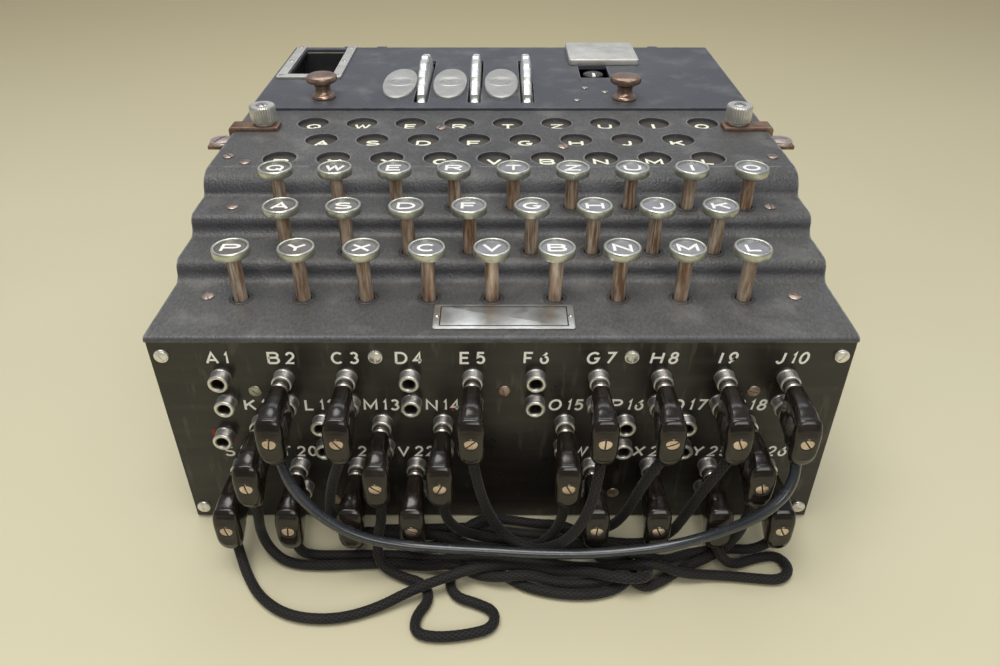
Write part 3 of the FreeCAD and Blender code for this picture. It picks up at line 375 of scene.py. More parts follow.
# Dark finish for the inside of the socket bores: painted shade in the holes.
bore_dark = metal("bore_dark", (0.30, 0.28, 0.25), (0.09, 0.08, 0.07), (0.35, 0.55), 0.3, 0.5)
bezel_metal = metal("bezel_metal", (0.60, 0.60, 0.57), (0.47, 0.46, 0.43), (0.45, 0.60), 0.2, 0.12, (1, 1, 1), 0.5, (0.74, 0.73, 0.70), 0.8)
lid_nickel = metal("lid_nickel", (0.78, 0.77, 0.72), (0.60, 0.58, 0.53), (0.42, 0.58), 0.2, 0.12, (1, 1, 1), 0.5, (0.93, 0.92, 0.88), 0.8)
key_rim = metal("key_rim", (0.78, 0.80, 0.70), (0.50, 0.51, 0.43), (0.24, 0.42), 0.3, 0.3, (1, 1, 5), 0.4, (0.98, 0.99, 0.94), 0.9)
screw_metal = metal("screw_metal", (0.74, 0.70, 0.62), (0.42, 0.37, 0.31), (0.26, 0.46), 0.3, 0.5)
screw_white = metal("screw_white", (0.95, 0.94, 0.90), (0.72, 0.70, 0.64), (0.26, 0.42), 0.25, 0.25, (1, 1, 1), 0.3, (0.98, 0.98, 0.96), 0.8)
screw_green = metal("screw_green", (0.58, 0.57, 0.46), (0.34, 0.33, 0.26), (0.30, 0.50), 0.3, 0.4)
screw_tan = metal("screw_tan", (0.58, 0.46, 0.39), (0.34, 0.27, 0.23), (0.35, 0.55), 0.3, 0.5)
plug_screw = metal("plug_screw", (0.88, 0.74, 0.62), (0.52, 0.38, 0.29), (0.28, 0.46), 0.35, 0.4, (1, 1, 1), 0.3, (0.97, 0.90, 0.80), 0.92)
copper = metal("copper", (0.55, 0.40, 0.31), (0.30, 0.19, 0.13), (0.24, 0.42), 0.3, 0.45, (1, 1, 4), 0.4, (0.72, 0.64, 0.56))
shoulder_metal = metal("shoulder_metal", (0.86, 0.82, 0.76), (0.52, 0.44, 0.38), (0.24, 0.42), 0.3, 0.4, (1, 1, 1), 0.3, (0.96, 0.93, 0.88), 0.92)
collar_metal = metal("collar_metal", (0.22, 0.20, 0.18), (0.07, 0.06, 0.055), (0.30, 0.50), 0.4, 0.5, (1, 1, 1), 0.25, (0.52, 0.49, 0.44), 0.9)
wheel_metal = metal("wheel_metal", (0.88, 0.88, 0.87), (0.62, 0.62, 0.60), (0.36, 0.50), 0.2, 0.12, (5, 1, 1), 0.4, (0.98, 0.98, 0.97), 0.85)
steel = metal("steel", (0.45, 0.45, 0.44), (0.26, 0.25, 0.24), (0.28, 0.48), 0.3, 0.3)
rust = metal("rust", (0.34, 0.24, 0.18), (0.15, 0.075, 0.045), (0.45, 0.75), 0.3, 0.6, (1, 1, 1), 0.6, (0.55, 0.50, 0.44), 0.7)
pink_disc = metal("pink_disc", (0.66, 0.56, 0.52), (0.42, 0.33, 0.30), (0.35, 0.55), 0.3, 0.35, (1, 1, 1), 0.4, (0.85, 0.80, 0.77))
tin = paint("tin", (0.022, 0.022, 0.022), (0.045, 0.044, 0.042), (0.22, 0.21, 0.20), (0.3, 0.5), 0.3)
plug_resin = moulded("plug_resin", (0.0060, 0.0046, 0.0038), (0.0170, 0.0115, 0.0080), (0.13, 0.27), 0.1, (0.055, 0.045, 0.036), 0.6, 0.25)
knob_resin = moulded("knob_resin", (0.012, 0.011, 0.010), (0.026, 0.023, 0.020), (0.22, 0.4), 0.2)


def make_stem():
    m = Mat("key_stem", (0.30, 0.23, 0.17), 0.4, 0.4)
    streak = m.noise(620, 0.38, 0.62, 5.0, stretch=(1, 1, 0.12))
    cloud = m.noise(120, 0.3, 0.7, 4.0)
    worn = m.noise(900, 0.56, 0.72, 3.0, stretch=(1, 1, 0.06))
    tone = m.mix(streak, (0.30, 0.175, 0.105), (0.84, 0.71, 0.57))
    tone = m.mix(m.sum("MULTIPLY", cloud, 0.45), tone, (0.33, 0.16, 0.075))
    tone = m.mix(m.sum("MULTIPLY", worn, 0.9), tone, (0.90, 0.84, 0.76))
    m.color(tone).rough(streak, 0.30, 0.52).bump(streak, 0.25, 0.06)
    return m.m


def make_disc():
    m = Mat("key_disc", (0.05, 0.045, 0.042), 0.5, 0.0, 0.5, 1.0, 0.06)
    age = m.noise(160, 0.3, 0.7, 5.0)
    speck = m.noise(1500, 0.60, 0.72, 2.0)
    # Discs painted lighter and bluer from the left keys to the middle: a painted reflection on the middle columns.
    painted_reflection_across = m.span(m.axis(0), -0.085, -0.005)
    low = m.mix(painted_reflection_across, (0.075, 0.064, 0.052), (0.17, 0.17, 0.19))
    high = m.mix(painted_reflection_across, (0.125, 0.108, 0.090), (0.27, 0.27, 0.30))
    tone = m.mix(age, low, high)
    tone = m.mix(m.sum("MULTIPLY", speck, 0.4), tone, (0.24, 0.22, 0.19))
    m.color(tone).rough(age, 0.35, 0.6).bump(m.noise(300, 0.3, 0.7), 0.03, 0.05)
    return m.m


def make_ink(name, color, worn, amount=0.35, coat=0.0):
    m = Mat(name, color, 0.5, 0.0, 0.4, coat, 0.1)
    chip = m.noise(900, 0.52, 0.70, 4.0)
    cloud = m.noise(140, 0.3, 0.7, 3.0)
    tone = m.mix(m.sum("MULTIPLY", cloud, 0.3), color, worn)
    tone = m.mix(m.sum("MULTIPLY", chip, amount), tone, worn)
    m.color(tone).rough(cloud, 0.42, 0.66).bump(chip, 0.15, 0.03)
    return m.m


def make_panel():
    m = Mat("panel_black", (0.020, 0.017, 0.014), 0.35, 0.0, 0.5, 0.1, 0.2)
    grain = m.noise(46, 0.3, 0.7, 6.0, stretch=(0.35, 1, 1.6))
    streak = m.noise(240, 0.50, 0.72, 4.0, stretch=(0.10, 1, 1.0))
    hair = m.noise(600, 0.60, 0.70, 2.0, stretch=(0.5, 1, 0.10))
    dust = m.noise(28, 0.50, 0.85, 6.0)
    tone = m.mix(grain, (0.0080, 0.0065, 0.0056), (0.0165, 0.0135, 0.0113))
    tone = m.mix(m.sum("MULTIPLY", streak, 0.35), tone, (0.050, 0.042, 0.034))
    tone = m.mix(m.sum("MULTIPLY", hair, 0.30), tone, (0.11, 0.095, 0.080))
    tone = m.mix(m.sum("MULTIPLY", dust, 0.12), tone, (0.060, 0.052, 0.045))
    lighter_edges = m.sum("MULTIPLY", m.edges(0.8), m.noise(200, 0.3, 0.6, 4.0))
    tone = m.mix(m.sum("MULTIPLY", lighter_edges, 0.6), tone, (0.17, 0.15, 0.13))
    m.color(tone).rough(m.noise(60, 0.3, 0.7, 5.0), 0.26, 0.44)
    m.bump(grain, 0.06, 0.12).bump(hair, 0.10, 0.02)
    return m.m


def make_film():
    m = Mat("film", (0.060, 0.052, 0.044), 0.55, 0.0, 0.4)
    cloud = m.noise(60, 0.3, 0.7, 5.0)
    speck = m.noise(1200, 0.58, 0.74, 3.0)
    tone = m.mix(cloud, (0.042, 0.036, 0.032), (0.080, 0.070, 0.060))
    tone = m.mix(m.sum("MULTIPLY", speck, 0.35), tone, (0.19, 0.17, 0.14))
    m.color(tone).rough(cloud, 0.40, 0.62).bump(m.noise(500, 0.3, 0.7), 0.12, 0.05)
    return m.m


def make_lamp_board():
    m = Mat("lamp_board", (0.12, 0.07, 0.04), 0.5, 0.0, 0.5)
    weave = m.noise(400, 0.3, 0.7, 4.0, stretch=(0.3, 1.5, 1))
    board = m.mix(weave, (0.085, 0.045, 0.024), (0.17, 0.10, 0.055))
    high = m.span(m.axis(2), 0.0932, 0.0934)
    glass = m.span(m.axis(2), 0.0988, 0.0992)
    tone = m.mix(high, board, (0.42, 0.36, 0.24))
    tone = m.mix(glass, tone, m.mix(m.noise(300, 0.3, 0.7), (0.55, 0.54, 0.47), (0.72, 0.71, 0.64)))
    m.color(tone).metal(m.sum("SUBTRACT", high, glass), 0.0, 0.9)
    m.rough(m.sum("MAXIMUM", m.sum("SUBTRACT", 1.0, glass), m.sum("MULTIPLY", weave, 0.2)), 0.08, 0.5)
    m.bump(weave, 0.12, 0.05)
    return m.m


def make_insulator():
    m = Mat("insulator", (0.14, 0.08, 0.05), 0.5, 0.0, 0.5)
    layer = m.noise(500, 0.3, 0.7, 4.0, stretch=(0.4, 0.4, 3.0))
    leaf = m.span(m.axis(2), 0.0465, 0.0466)
    tone = m.mix(layer, (0.090, 0.045, 0.026), (0.165, 0.095, 0.058))
    tone = m.mix(leaf, tone, m.mix(m.noise(200, 0.3, 0.7), (0.52, 0.33, 0.17), (0.38, 0.23, 0.12)))
    m.color(tone).metal(leaf, 0.0, 1.0).rough(layer, 0.32, 0.55).bump(layer, 0.12, 0.05)
    return m.m


def make_lens():
    m = Mat("lens_glass", (0.20, 0.21, 0.21), 0.12, 0.0, 0.5, 1.0, 0.03)
    haze = m.noise(240, 0.3, 0.7, 5.0)
    line = m.noise(700, 0.50, 0.64, 3.0, stretch=(0.5, 1.6, 1))
    tone = m.mix(haze, (0.20, 0.205, 0.20), (0.38, 0.385, 0.37))
    # Light streaks mixed into the lens: a painted reflection on the glass.
    tone = m.mix(m.sum("MULTIPLY", line, 0.55), tone, (0.48, 0.48, 0.46))
    m.color(tone).rough(haze, 0.08, 0.22).bump(haze, 0.05, 0.10)
    return m.m


def make_braid():
    m = Mat("cord_braid", (0.020, 0.019, 0.018), 0.75, 0.0, 0.3)
    m.b.inputs["Sheen Weight"].default_value = 0.12
    m.b.inputs["Sheen Roughness"].default_value = 0.4
    u, v = m.axis(0, "UV"), m.axis(1, "UV")
    left = m.sum("SINE", m.sum("ADD", m.sum("MULTIPLY", u, 2600.0), m.sum("MULTIPLY", v, 2 * math.pi * 8)))
    right = m.sum("SINE", m.sum("SUBTRACT", m.sum("MULTIPLY", u, 2600.0), m.sum("MULTIPLY", v, 2 * math.pi * 8)))
    knit = m.span(m.sum("MAXIMUM", left, right), -0.4, 1.0)
    fuzz = m.noise(2600, 0.3, 0.7, 3.0)
    worn = m.noise(38, 0.48, 0.75, 5.0)
    tone = m.mix(knit, (0.0030, 0.0027, 0.0026), (0.0140, 0.0128, 0.0120))
    tone = m.mix(m.sum("MULTIPLY", fuzz, 0.20), tone, (0.034, 0.031, 0.028))
    tone = m.mix(m.sum("MULTIPLY", worn, 0.25), tone, (0.040, 0.034, 0.028))
    m.color(tone).rough(knit, 0.86, 0.62).bump(knit, 0.7, 0.16).bump(fuzz, 0.3, 0.05)
    return m.m


def make_smooth_cord():
    m = Mat("cord_smooth", (0.020, 0.024, 0.030), 0.22, 0.0, 0.5, 0.5, 0.1)
    cloud = m.noise(55, 0.3, 0.7, 5.0)
    nick = m.noise(700, 0.60, 0.72, 3.0)
    tone = m.mix(cloud, (0.012, 0.014, 0.018), (0.034, 0.040, 0.048))
    tone = m.mix(m.sum("MULTIPLY", nick, 0.4), tone, (0.13, 0.13, 0.13))
    m.color(tone).rough(cloud, 0.16, 0.34).bump(m.noise(260, 0.3, 0.7, 3.0), 0.14, 0.12)
    return m.m


def make_floor():
    m = Mat("floor", (0.70, 0.65, 0.47), 0.55, 0.0, 0.35)
    cloud = m.noise(2.2, 0.3, 0.7, 4.0)
    fine = m.noise(900, 0.3, 0.7, 2.0)
    tone = m.mix(cloud, (0.600, 0.556, 0.378), (0.645, 0.602, 0.425))
    tone = m.mix(m.sum("MULTIPLY", fine, 0.05), tone, (0.55, 0.50, 0.36))
    # Floor painted darker towards the back: painted shade where the light falls off.
    painted_shade_far = m.span(m.axis(1), -0.05, 0.75)
    tone = m.mix(painted_shade_far, tone, (0.545, 0.465, 0.270))
    m.color(tone).rough(cloud, 0.5, 0.62).bump(fine, 0.05, 0.05)
    return m.m


stem_metal = make_stem()
disc_face = make_disc()
panel_black = make_panel()
film = make_film()
board = make_lamp_board()
insulator = make_insulator()
lens_glass = make_lens()
braid = make_braid()
smooth_rubber = make_smooth_cord()
key_ink = make_ink("key_ink", (0.92, 0.92, 0.86), (0.55, 0.53, 0.47), 0.2, 0.6)
panel_ink = make_ink("panel_ink", (0.98, 0.96, 0.90), (0.72, 0.67, 0.57), 0.40)
lamp_ink = make_ink("lamp_ink", (0.90, 0.92, 0.72), (0.58, 0.58, 0.42), 0.25)
ring_ink = make_ink("ring_ink", (0.62, 0.60, 0.54), (0.25, 0.24, 0.21), 0.4)
black_ink = make_ink("black_ink", (0.020, 0.019, 0.018), (0.10, 0.095, 0.09), 0.3)
red_ink = make_ink("red_ink", (0.30, 0.018, 0.012), (0.10, 0.02, 0.015), 0.4)
ring_black = paint("ring_black", (0.018, 0.018, 0.018), (0.034, 0.033, 0.032), (0.18, 0.17, 0.16), (0.3, 0.5), 0.4)
plate_metal = metal("plate_metal", (0.74, 0.74, 0.71), (0.50, 0.49, 0.46), (0.30, 0.48), 0.35, 0.25, (0.2, 6, 1), 0.3, (0.90, 0.90, 0.87))


# ---------------------------------------------------------------- shapes
class Build:
    """Collects closed shapes in millimetres and makes one mesh object of them in metres."""

    def __init__(self):
        self.v, self.f, self.m = [], [], []

    def add(self, shape, mat=0, move=None):
        verts, faces = shape[0], shape[1]
        base = len(self.v)
        self.v += [tuple(move @ Vector(p)) for p in verts] if move is not None else [tuple(p) for p in verts]
        mats = shape[2] if len(shape) > 2 else None
        for i, f in enumerate(faces):
            self.f.append([base + k for k in f])
            self.m.append(mats[i] if mats else mat)
        return self

    def make(self, name, mats, body="root", slot=None, nodes=(), angle=38):
        me = bpy.data.meshes.new(name)
        me.from_pydata([(x * MM, y * MM, z * MM) for x, y, z in self.v], [], self.f)
        for mat in mats:
            me.materials.append(mat)
        me.polygons.foreach_set("material_index", self.m)
        me.update()
        bm = bmesh.new()
        bm.from_mesh(me)
        bmesh.ops.recalc_face_normals(bm, faces=bm.faces)
        bm.to_mesh(me)
        bm.free()
        me.shade_smooth()
        me.set_sharp_from_angle(angle=math.radians(angle))
        ob = bpy.data.objects.new(name, me)
        scene.collection.objects.link(ob)
        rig.ride(ob, body)
        if slot:
            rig.slot(ob, slot)
        if nodes:
            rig.replaces(ob, *nodes)
        return ob


def at(x=0.0, y=0.0, z=0.0, turn=0.0, about="Z"):
    return Matrix.Translation((x, y, z)) @ Matrix.Rotation(turn, 4, about)


OUT = Matrix.Rotation(math.pi / 2, 4, "X")     # a shape's +Z turned to -Y


def lathe(profile, n=40, radial=None, mats=None):
    """Turns (radius, height) points about Z. An open profile starts and ends on the axis; a ring's profile closes on itself."""
    closed = profile[0][0] > 1e-6 or profile[-1][0] > 1e-6
    verts, faces, tags, rows = [], [], [], []
    for r, z in profile:
        if r < 1e-6:
            rows.append([len(verts)])
            verts.append((0, 0, z))
            continue
        row = []
        for k in range(n):
            a = 2 * math.pi * k / n
            q = radial(a, r, z) if radial else r
            row.append(len(verts))
            verts.append((q * math.cos(a), q * math.sin(a), z))
        rows.append(row)
    pairs = list(zip(range(len(rows) - 1), range(1, len(rows)))) + ([(len(rows) - 1, 0)] if closed else [])
    for i, j in pairs:
        a, b = rows[i], rows[j]
        for k in range(n):
            k2 = (k + 1) % n
            if len(a) == 1 and len(b) == 1:
                continue
            if len(a) == 1:
                faces.append([a[0], b[k2], b[k]])
            elif len(b) == 1:
                faces.append([a[k], a[k2], b[0]])
            else:
                faces.append([a[k], a[k2], b[k2], b[k]])
            tags.append(mats[i] if mats else 0)
    return (verts, faces, tags) if mats else (verts, faces)


def from_bm(bm):
    bm.verts.index_update()
    shape = ([v.co.copy() for v in bm.verts], [[v.index for v in f.verts] for f in bm.faces])
    bm.free()
    return shape


def rbox(lo, hi, r=0.4, seg=2):
    """A box with rounded edges."""
    bm = bmesh.new()
    bmesh.ops.create_cube(bm, size=1.0)
    for v in bm.verts:
        v.co = Vector([(lo[i] + hi[i]) / 2 + v.co[i] * (hi[i] - lo[i]) for i in range(3)])
    bmesh.ops.bevel(bm, geom=list(bm.edges), offset=r, segments=seg, profile=0.5, affect="EDGES")
    return from_bm(bm)


def plate(outline, depth, r=0.4, seg=2, lift=None):
    """A flat outline of (a, b) points pushed through depth = (c0, c1) with rounded rims; lift(a, b, c) gives the point."""
    bm = bmesh.new()
    low = [bm.verts.new(lift(a, b, depth[0])) for a, b in outline]
    high = [bm.verts.new(lift(a, b, depth[1])) for a, b in outline]
    bottom, top = bm.faces.new(low), bm.faces.new(high)
    n = len(outline)
    for i in range(n):
        bm.faces.new((low[i], low[(i + 1) % n], high[(i + 1) % n], high[i]))
    bmesh.ops.recalc_face_normals(bm, faces=bm.faces)
    if r:
        bmesh.ops.bevel(bm, geom=list(bottom.edges) + list(top.edges), offset=r, segments=seg, profile=0.5, affect="EDGES")
    return from_bm(bm)


def rounded(points, radii, steps=5):
    """The outline with each corner replaced by an arc of its radius."""
    out, n = [], len(points)
    for i in range(n):
        p, a, b = Vector(points[i]), Vector(points[i - 1]), Vector(points[(i + 1) % n])
        r = radii[i] if isinstance(radii, (list, tuple)) else radii
        u, w = (a - p), (b - p)
        ul, wl = u.length, w.length
        u.normalize()
        w.normalize()
        if r <= 0:
            out.append(tuple(p))
            continue
        half = u.angle(w) / 2
        reach = min(r / math.tan(half), 0.48 * ul, 0.48 * wl)
        rr = reach * math.tan(half)
        mid = (u + w).normalized() * (rr / math.sin(half))
        c = p + mid
        s, e = p + u * reach - c, p + w * reach - c
        a0, a1 = math.atan2(s.y, s.x), math.atan2(e.y, e.x)
        d = (a1 - a0 + math.pi) % (2 * math.pi) - math.pi
        for k in range(steps + 1):
            t = a0 + d * k / steps
            out.append((c.x + rr * math.cos(t), c.y + rr * math.sin(t)))
    return out


def slotted(r, h, dome, slot=0.35, deep=0.55, n=28):
    """A slotted screw head standing on Z 0: two halves beside the slot over a lower disc."""
    prof = [(0, 0.0), (r * 0.97, 0.0), (r, 0.12), (r, h * 0.55)]
    for k in range(1, 7):
        t = k / 6 * math.pi / 2
        prof.append((r * math.cos(t) * 0.98 if k < 6 else 0.0, h * 0.55 + (h * 0.45 + dome) * math.sin(t)))
    full = lathe(prof, n)
    out_v, out_f = [], []
    for side in (1, -1):
        bm = bmesh.new()
        vs = [bm.verts.new(p) for p in full[0]]
        for f in full[1]:
            bm.faces.new([vs[k] for k in f])
        cutg = bmesh.ops.bisect_plane(bm, geom=bm.verts[:] + bm.edges[:] + bm.faces[:], plane_co=(side * slot, 0, 0),
                                      plane_no=(-side, 0, 0), clear_outer=True)
        edge = [g for g in cutg["geom_cut"] if isinstance(g, bmesh.types.BMEdge)]
        bmesh.ops.holes_fill(bm, edges=edge, sides=0)
        v, f = from_bm(bm)
        base = len(out_v)
        out_v += v
        out_f += [[base + k for k in q] for q in f]
    floor = lathe([(0, 0.02), (r * 0.96, 0.02), (r * 0.96, h + dome - deep), (0, h + dome - deep)], n)
    base = len(out_v)
    out_v += [Vector(p) for p in floor[0]]
    out_f += [[base + k for k in q] for q in floor[1]]
    return out_v, out_f


# ---------------------------------------------------------------- lettering
def arc(cx, cy, rx, ry, a0, a1, n=9):
    return [(cx + rx * math.cos(math.radians(a0 + (a1 - a0) * k / n)), cy + ry * math.sin(math.radians(a0 + (a1 - a0) * k / n)))
            for k in range(n + 1)]


RING = arc(0.5, 0.5, 0.5, 0.5, 90, 450, 22)[:-1]
GLYPHS = {
    "A": [[(0, 0), (0.5, 1), (1, 0)], [(0.17, 0.30), (0.83, 0.30)]],
    "B": [[(0, 0), (0, 1), (0.60, 1)] + arc(0.60, 0.765, 0.33, 0.235, 80, -90)[0:] + [(0, 0.53)], [(0.60, 0.53)] + arc(0.62, 0.265, 0.38, 0.265, 80, -90) + [(0, 0)]],
    "C": [arc(0.52, 0.5, 0.52, 0.5, 48, 312, 16)],
    "D": [[(0, 0), (0, 1), (0.42, 1)] + arc(0.42, 0.5, 0.58, 0.5, 80, -80, 14) + [(0.42, 0), (0, 0)]],
    "E": [[(0.95, 1), (0, 1), (0, 0), (0.97, 0)], [(0, 0.52), (0.85, 0.52)]],
    "F": [[(0.95, 1), (0, 1), (0, 0)], [(0, 0.50), (0.82, 0.50)]],
    "G": [arc(0.52, 0.5, 0.52, 0.5, 46, 318, 16) + [(0.98, 0.45), (0.58, 0.45)]],
    "H": [[(0, 0), (0, 1)], [(1, 0), (1, 1)], [(0, 0.52), (1, 0.52)]],
    "I": [[(0.5, 0), (0.5, 1)]],
    "J": [[(0.85, 1), (0.85, 0.32)] + arc(0.46, 0.32, 0.39, 0.32, -8, -160, 9)],
    "K": [[(0, 0), (0, 1)], [(0.97, 1), (0.04, 0.42)], [(0.36, 0.62), (1, 0)]],
    "L": [[(0.05, 1), (0.05, 0), (0.98, 0)]],
    "M": [[(0, 0), (0, 1), (0.5, 0.22), (1, 1), (1, 0)]],
    "N": [[(0, 0), (0, 1), (1, 0), (1, 1)]],
    "O": ["closed", RING],
    "P": [[(0, 0), (0, 1), (0.58, 1)] + arc(0.58, 0.735, 0.42, 0.265, 80, -80) + [(0.58, 0.47), (0, 0.47)]],
    "Q": ["closed", RING, [(0.60, 0.30), (1.02, -0.06)]],
    "R": [[(0, 0), (0, 1), (0.58, 1)] + arc(0.58, 0.745, 0.40, 0.255, 80, -80) + [(0.58, 0.49), (0, 0.49)], [(0.46, 0.49), (1, 0)]],
    "S": [arc(0.5, 0.755, 0.44, 0.245, 28, 262, 12) + arc(0.5, 0.255, 0.48, 0.255, 82, -156, 12)],
    "T": [[(0, 1), (1, 1)], [(0.5, 0), (0.5, 1)]],
    "U": [[(0, 1), (0, 0.38)] + arc(0.5, 0.38, 0.5, 0.38, 190, 350, 12) + [(1, 0.38), (1, 1)]],
    "V": [[(0, 1), (0.5, 0), (1, 1)]],
    "W": [[(0, 1), (0.26, 0), (0.5, 0.86), (0.74, 0), (1, 1)]],
    "X": [[(0, 0), (1, 1)], [(0, 1), (1, 0)]],
    "Y": [[(0, 1), (0.5, 0.47), (1, 1)], [(0.5, 0.47), (0.5, 0)]],
    "Z": [[(0.03, 1), (0.97, 1), (0, 0), (1, 0)]],
    "0": ["closed", RING],
    "1": [[(0.10, 0.76), (0.62, 1), (0.62, 0)]],
    "2": [arc(0.5, 0.70, 0.46, 0.30, 168, -28, 11) + [(0.02, 0), (1, 0)]],
    "3": [arc(0.47, 0.755, 0.42, 0.245, 150, -80, 11), arc(0.47, 0.265, 0.50, 0.265, 82, -152, 12)],
    "4": [[(0.74, 0), (0.74, 1), (0, 0.28), (1, 0.28)]],
    "5": [[(0.92, 1), (0.16, 1), (0.09, 0.56)] + arc(0.47, 0.33, 0.48, 0.33, 128, -148, 12)],
    "6": [[(0.80, 1), (0.22, 0.56)] + arc(0.5, 0.32, 0.46, 0.32, 145, 505, 18)],
    "7": [[(0, 1), (1, 1), (0.36, 0)]],
    "8": ["closed", arc(0.5, 0.765, 0.39, 0.235, 90, 450, 16)[:-1], arc(0.5, 0.27, 0.49, 0.27, 90, 450, 18)[:-1]],
    "9": [[(0.20, 0), (0.78, 0.44)] + arc(0.5, 0.68, 0.46, 0.32, -35, 325, 18)],
}
WIDTHS = {"I": 0.25, "J": 0.80, "L": 0.84, "E": 0.86, "F": 0.84, "M": 1.16, "W": 1.26, "1": 0.55, "O": 1.08, "Q": 1.08, "C": 1.02, "G": 1.05,
          "A": 1.06, "V": 1.04, "S": 0.95, "P": 0.95, "T": 0.98, "N": 1.0, "H": 1.0}


def stroke(points, width, lift, closed=False):
    """A flat raised bar along a line of (a, b) points; lift(a, b, k) gives its foot (k 0) and its face (k 1)."""
    pts = [Vector(p) for p in points]
    n = len(pts)
    left, right = [], []
    for i in range(n):
        before = pts[i] - pts[i - 1] if (closed or i) else pts[1] - pts[0]
        after = pts[(i + 1) % n] - pts[i] if (closed or i < n - 1) else pts[-1] - pts[-2]
        before.normalize()
        after.normalize()
        n0, n1 = Vector((-before.y, before.x)), Vector((-after.y, after.x))
        mid = n0 + n1
        if mid.length < 1e-4:
            mid = n0.copy()
        mid.normalize()
        reach = min(1 / max(mid.dot(n0), 0.3), 2.0)
        left.append(pts[i] + mid * (width / 2 * reach))
        right.append(pts[i] - mid * (width / 2 * reach))
    verts, faces = [], []
    for p in left + right:
        verts.append(lift(p.x, p.y, 1))
    for p in left + right:
        verts.append(lift(p.x, p.y, 0))
    k = 2 * n
    last = n if closed else n - 1
    for i in range(last):
        j = (i + 1) % n
        faces.append([i, j, n + j, n + i])
        faces.append([k + i, k + n + i, k + n + j, k + j])
        faces.append([i, k + i, k + j, j])
        faces.append([n + i, n + j, k + n + j, k + n + i])
    if not closed:
        faces.append([0, n, k + n, k])
        faces.append([n - 1, k + n - 1, k + n + n - 1, n + n - 1])
    return verts, faces


def finer(points, closed, step):
    """The same line with points at most a step apart, so that it can follow a curved face."""
    out, n = [], len(points)
    for i in range(n if closed else n - 1):
        p, q = Vector(points[i]), Vector(points[(i + 1) % n])
        parts = max(1, math.ceil((q - p).length / step))
        out += [tuple(p + (q - p) * (k / parts)) for k in range(parts)]
    return out if closed else out + [points[-1]]


def glyph(build, letter, x, y, w, h, thick, lift, mat=0, slant=0.0, step=0.0):
    """Draws one letter whose lower left corner is (x, y)."""
    parts = GLYPHS[letter]
    closed = parts[0] == "closed"
    ww, hh = max(w - thick, 0.01), h - thick
    for i, line in enumerate(parts[1:] if closed else parts):
        ring = closed and not (letter == "Q" and i == 1)
        pts = [(x + thick / 2 + a * ww + slant * b * hh, y + thick / 2 + b * hh) for a, b in line]
        if step:
            pts = finer(pts, ring, step)
        build.add(stroke(pts, thick, lambda a, b, k, i=i: lift(a, b, k * (1 + 0.02 * i)), ring), mat)


def word(build, text, cx, y, w, h, thick, lift, mat=0, gap=0.9, space=0.8, slant=0.0):
    """Draws a line of text whose middle is at cx."""
    sizes = []
    for ch in text:
        sizes.append(space if ch == " " else max(w * WIDTHS.get(ch, 1.0) * (0.78 if ch.isdigit() else 1.0), thick))
    total = sum(sizes) + gap * (len(text) - 1)
    x = cx - total / 2
    for ch, size in zip(text, sizes):
        if ch != " ":
            glyph(build, ch, x, y, size, h, thick, lift, mat, slant)
        x += size + gap


# ---------------------------------------------------------------- layout shared with the frame
KEY_ROWS = [("PYXCVBNML", -114.6, -3.5, 24.14, 114.6, 92.0), ("ASDFGHJK", -91.7, -0.3, 24.46, 120.6, 99.8),
            ("QWERTZUIO", -67.6, 5.0, 24.4, 126.1, 107.8)]
KEYS = [(c, round(mid + (i - (len(row) - 1) / 2) * pitch, 2), y, top, level)
        for row, y, mid, pitch, top, level in KEY_ROWS for i, c in enumerate(row)]
WINDOWS = [(c, round(mid + (i - (len(row) - 1) / 2) * 24.0, 2), y)
           for row, y, mid in (("QWERTZUIO", 8.3, 3.4), ("ASDFGHJK", -13.8, -0.6), ("PYXCVBNML", -36.2, -3.2)) for i, c in enumerate(row)]
COLUMN = 23.26
SPOTS = ([(c, i + 1, -103.6 + COLUMN * i, 74.2) for i, c in enumerate("ABCDEFGHIJ")]
         + [(c, i + 11, -92.1 + COLUMN * i, 52.5) for i, c in enumerate("KLMN")]
         + [(c, i + 15, 24.3 + COLUMN * i, 52.5) for i, c in enumerate("OPQR")]
         + [(c, i + 19, -103.6 + COLUMN * i, 30.2) for i, c in enumerate("STUV")]
         + [(c, i + 23, 35.96 + COLUMN * i, 30.2) for i, c in enumerate("WXYZ")])
PLUGGED = "BCEGHIJKMNORSTUVWXYZ"
PANEL_Y = -141.0
PANEL_SCREWS = [(-123.4, 84.0), (123.6, 84.0), (-124.2, 6.0), (124.2, 6.0), (-45.8, 83.6), (47.4, 83.6),
                (-92.3, 67.5), (1.1, 67.5), (94.5, 67.5), (46.0, 14.0), (-68.6, 10.0)]
COVER_SCREWS = [(-113.2, -113.6, 92.0), (113.2, -113.6, 92.0), (-113.4, -67.6, 107.8), (113.4, -67.6, 107.8)]
LAMP_SCREWS = [(-122.6, -34.4), (122.0, -35.0), (-29.2, 1.4), (28.6, -23.2), (-113.4, -41.2), (113.4, -41.2)]
SIDE_SCREWS = [(-122.0, 9.0), (-122.0, 78.0), (-70.0, 9.0), (-52.0, 90.0), (-10.0, 9.0), (10.0, 87.0), (60.0, 9.0), (92.0, 90.0),
               (128.0, 9.0), (128.0, 88.0)]
BACK_SCREWS = [(x, z) for z in (8.0, 94.0) for x in (-118.0, -40.0, 40.0, 118.0)]

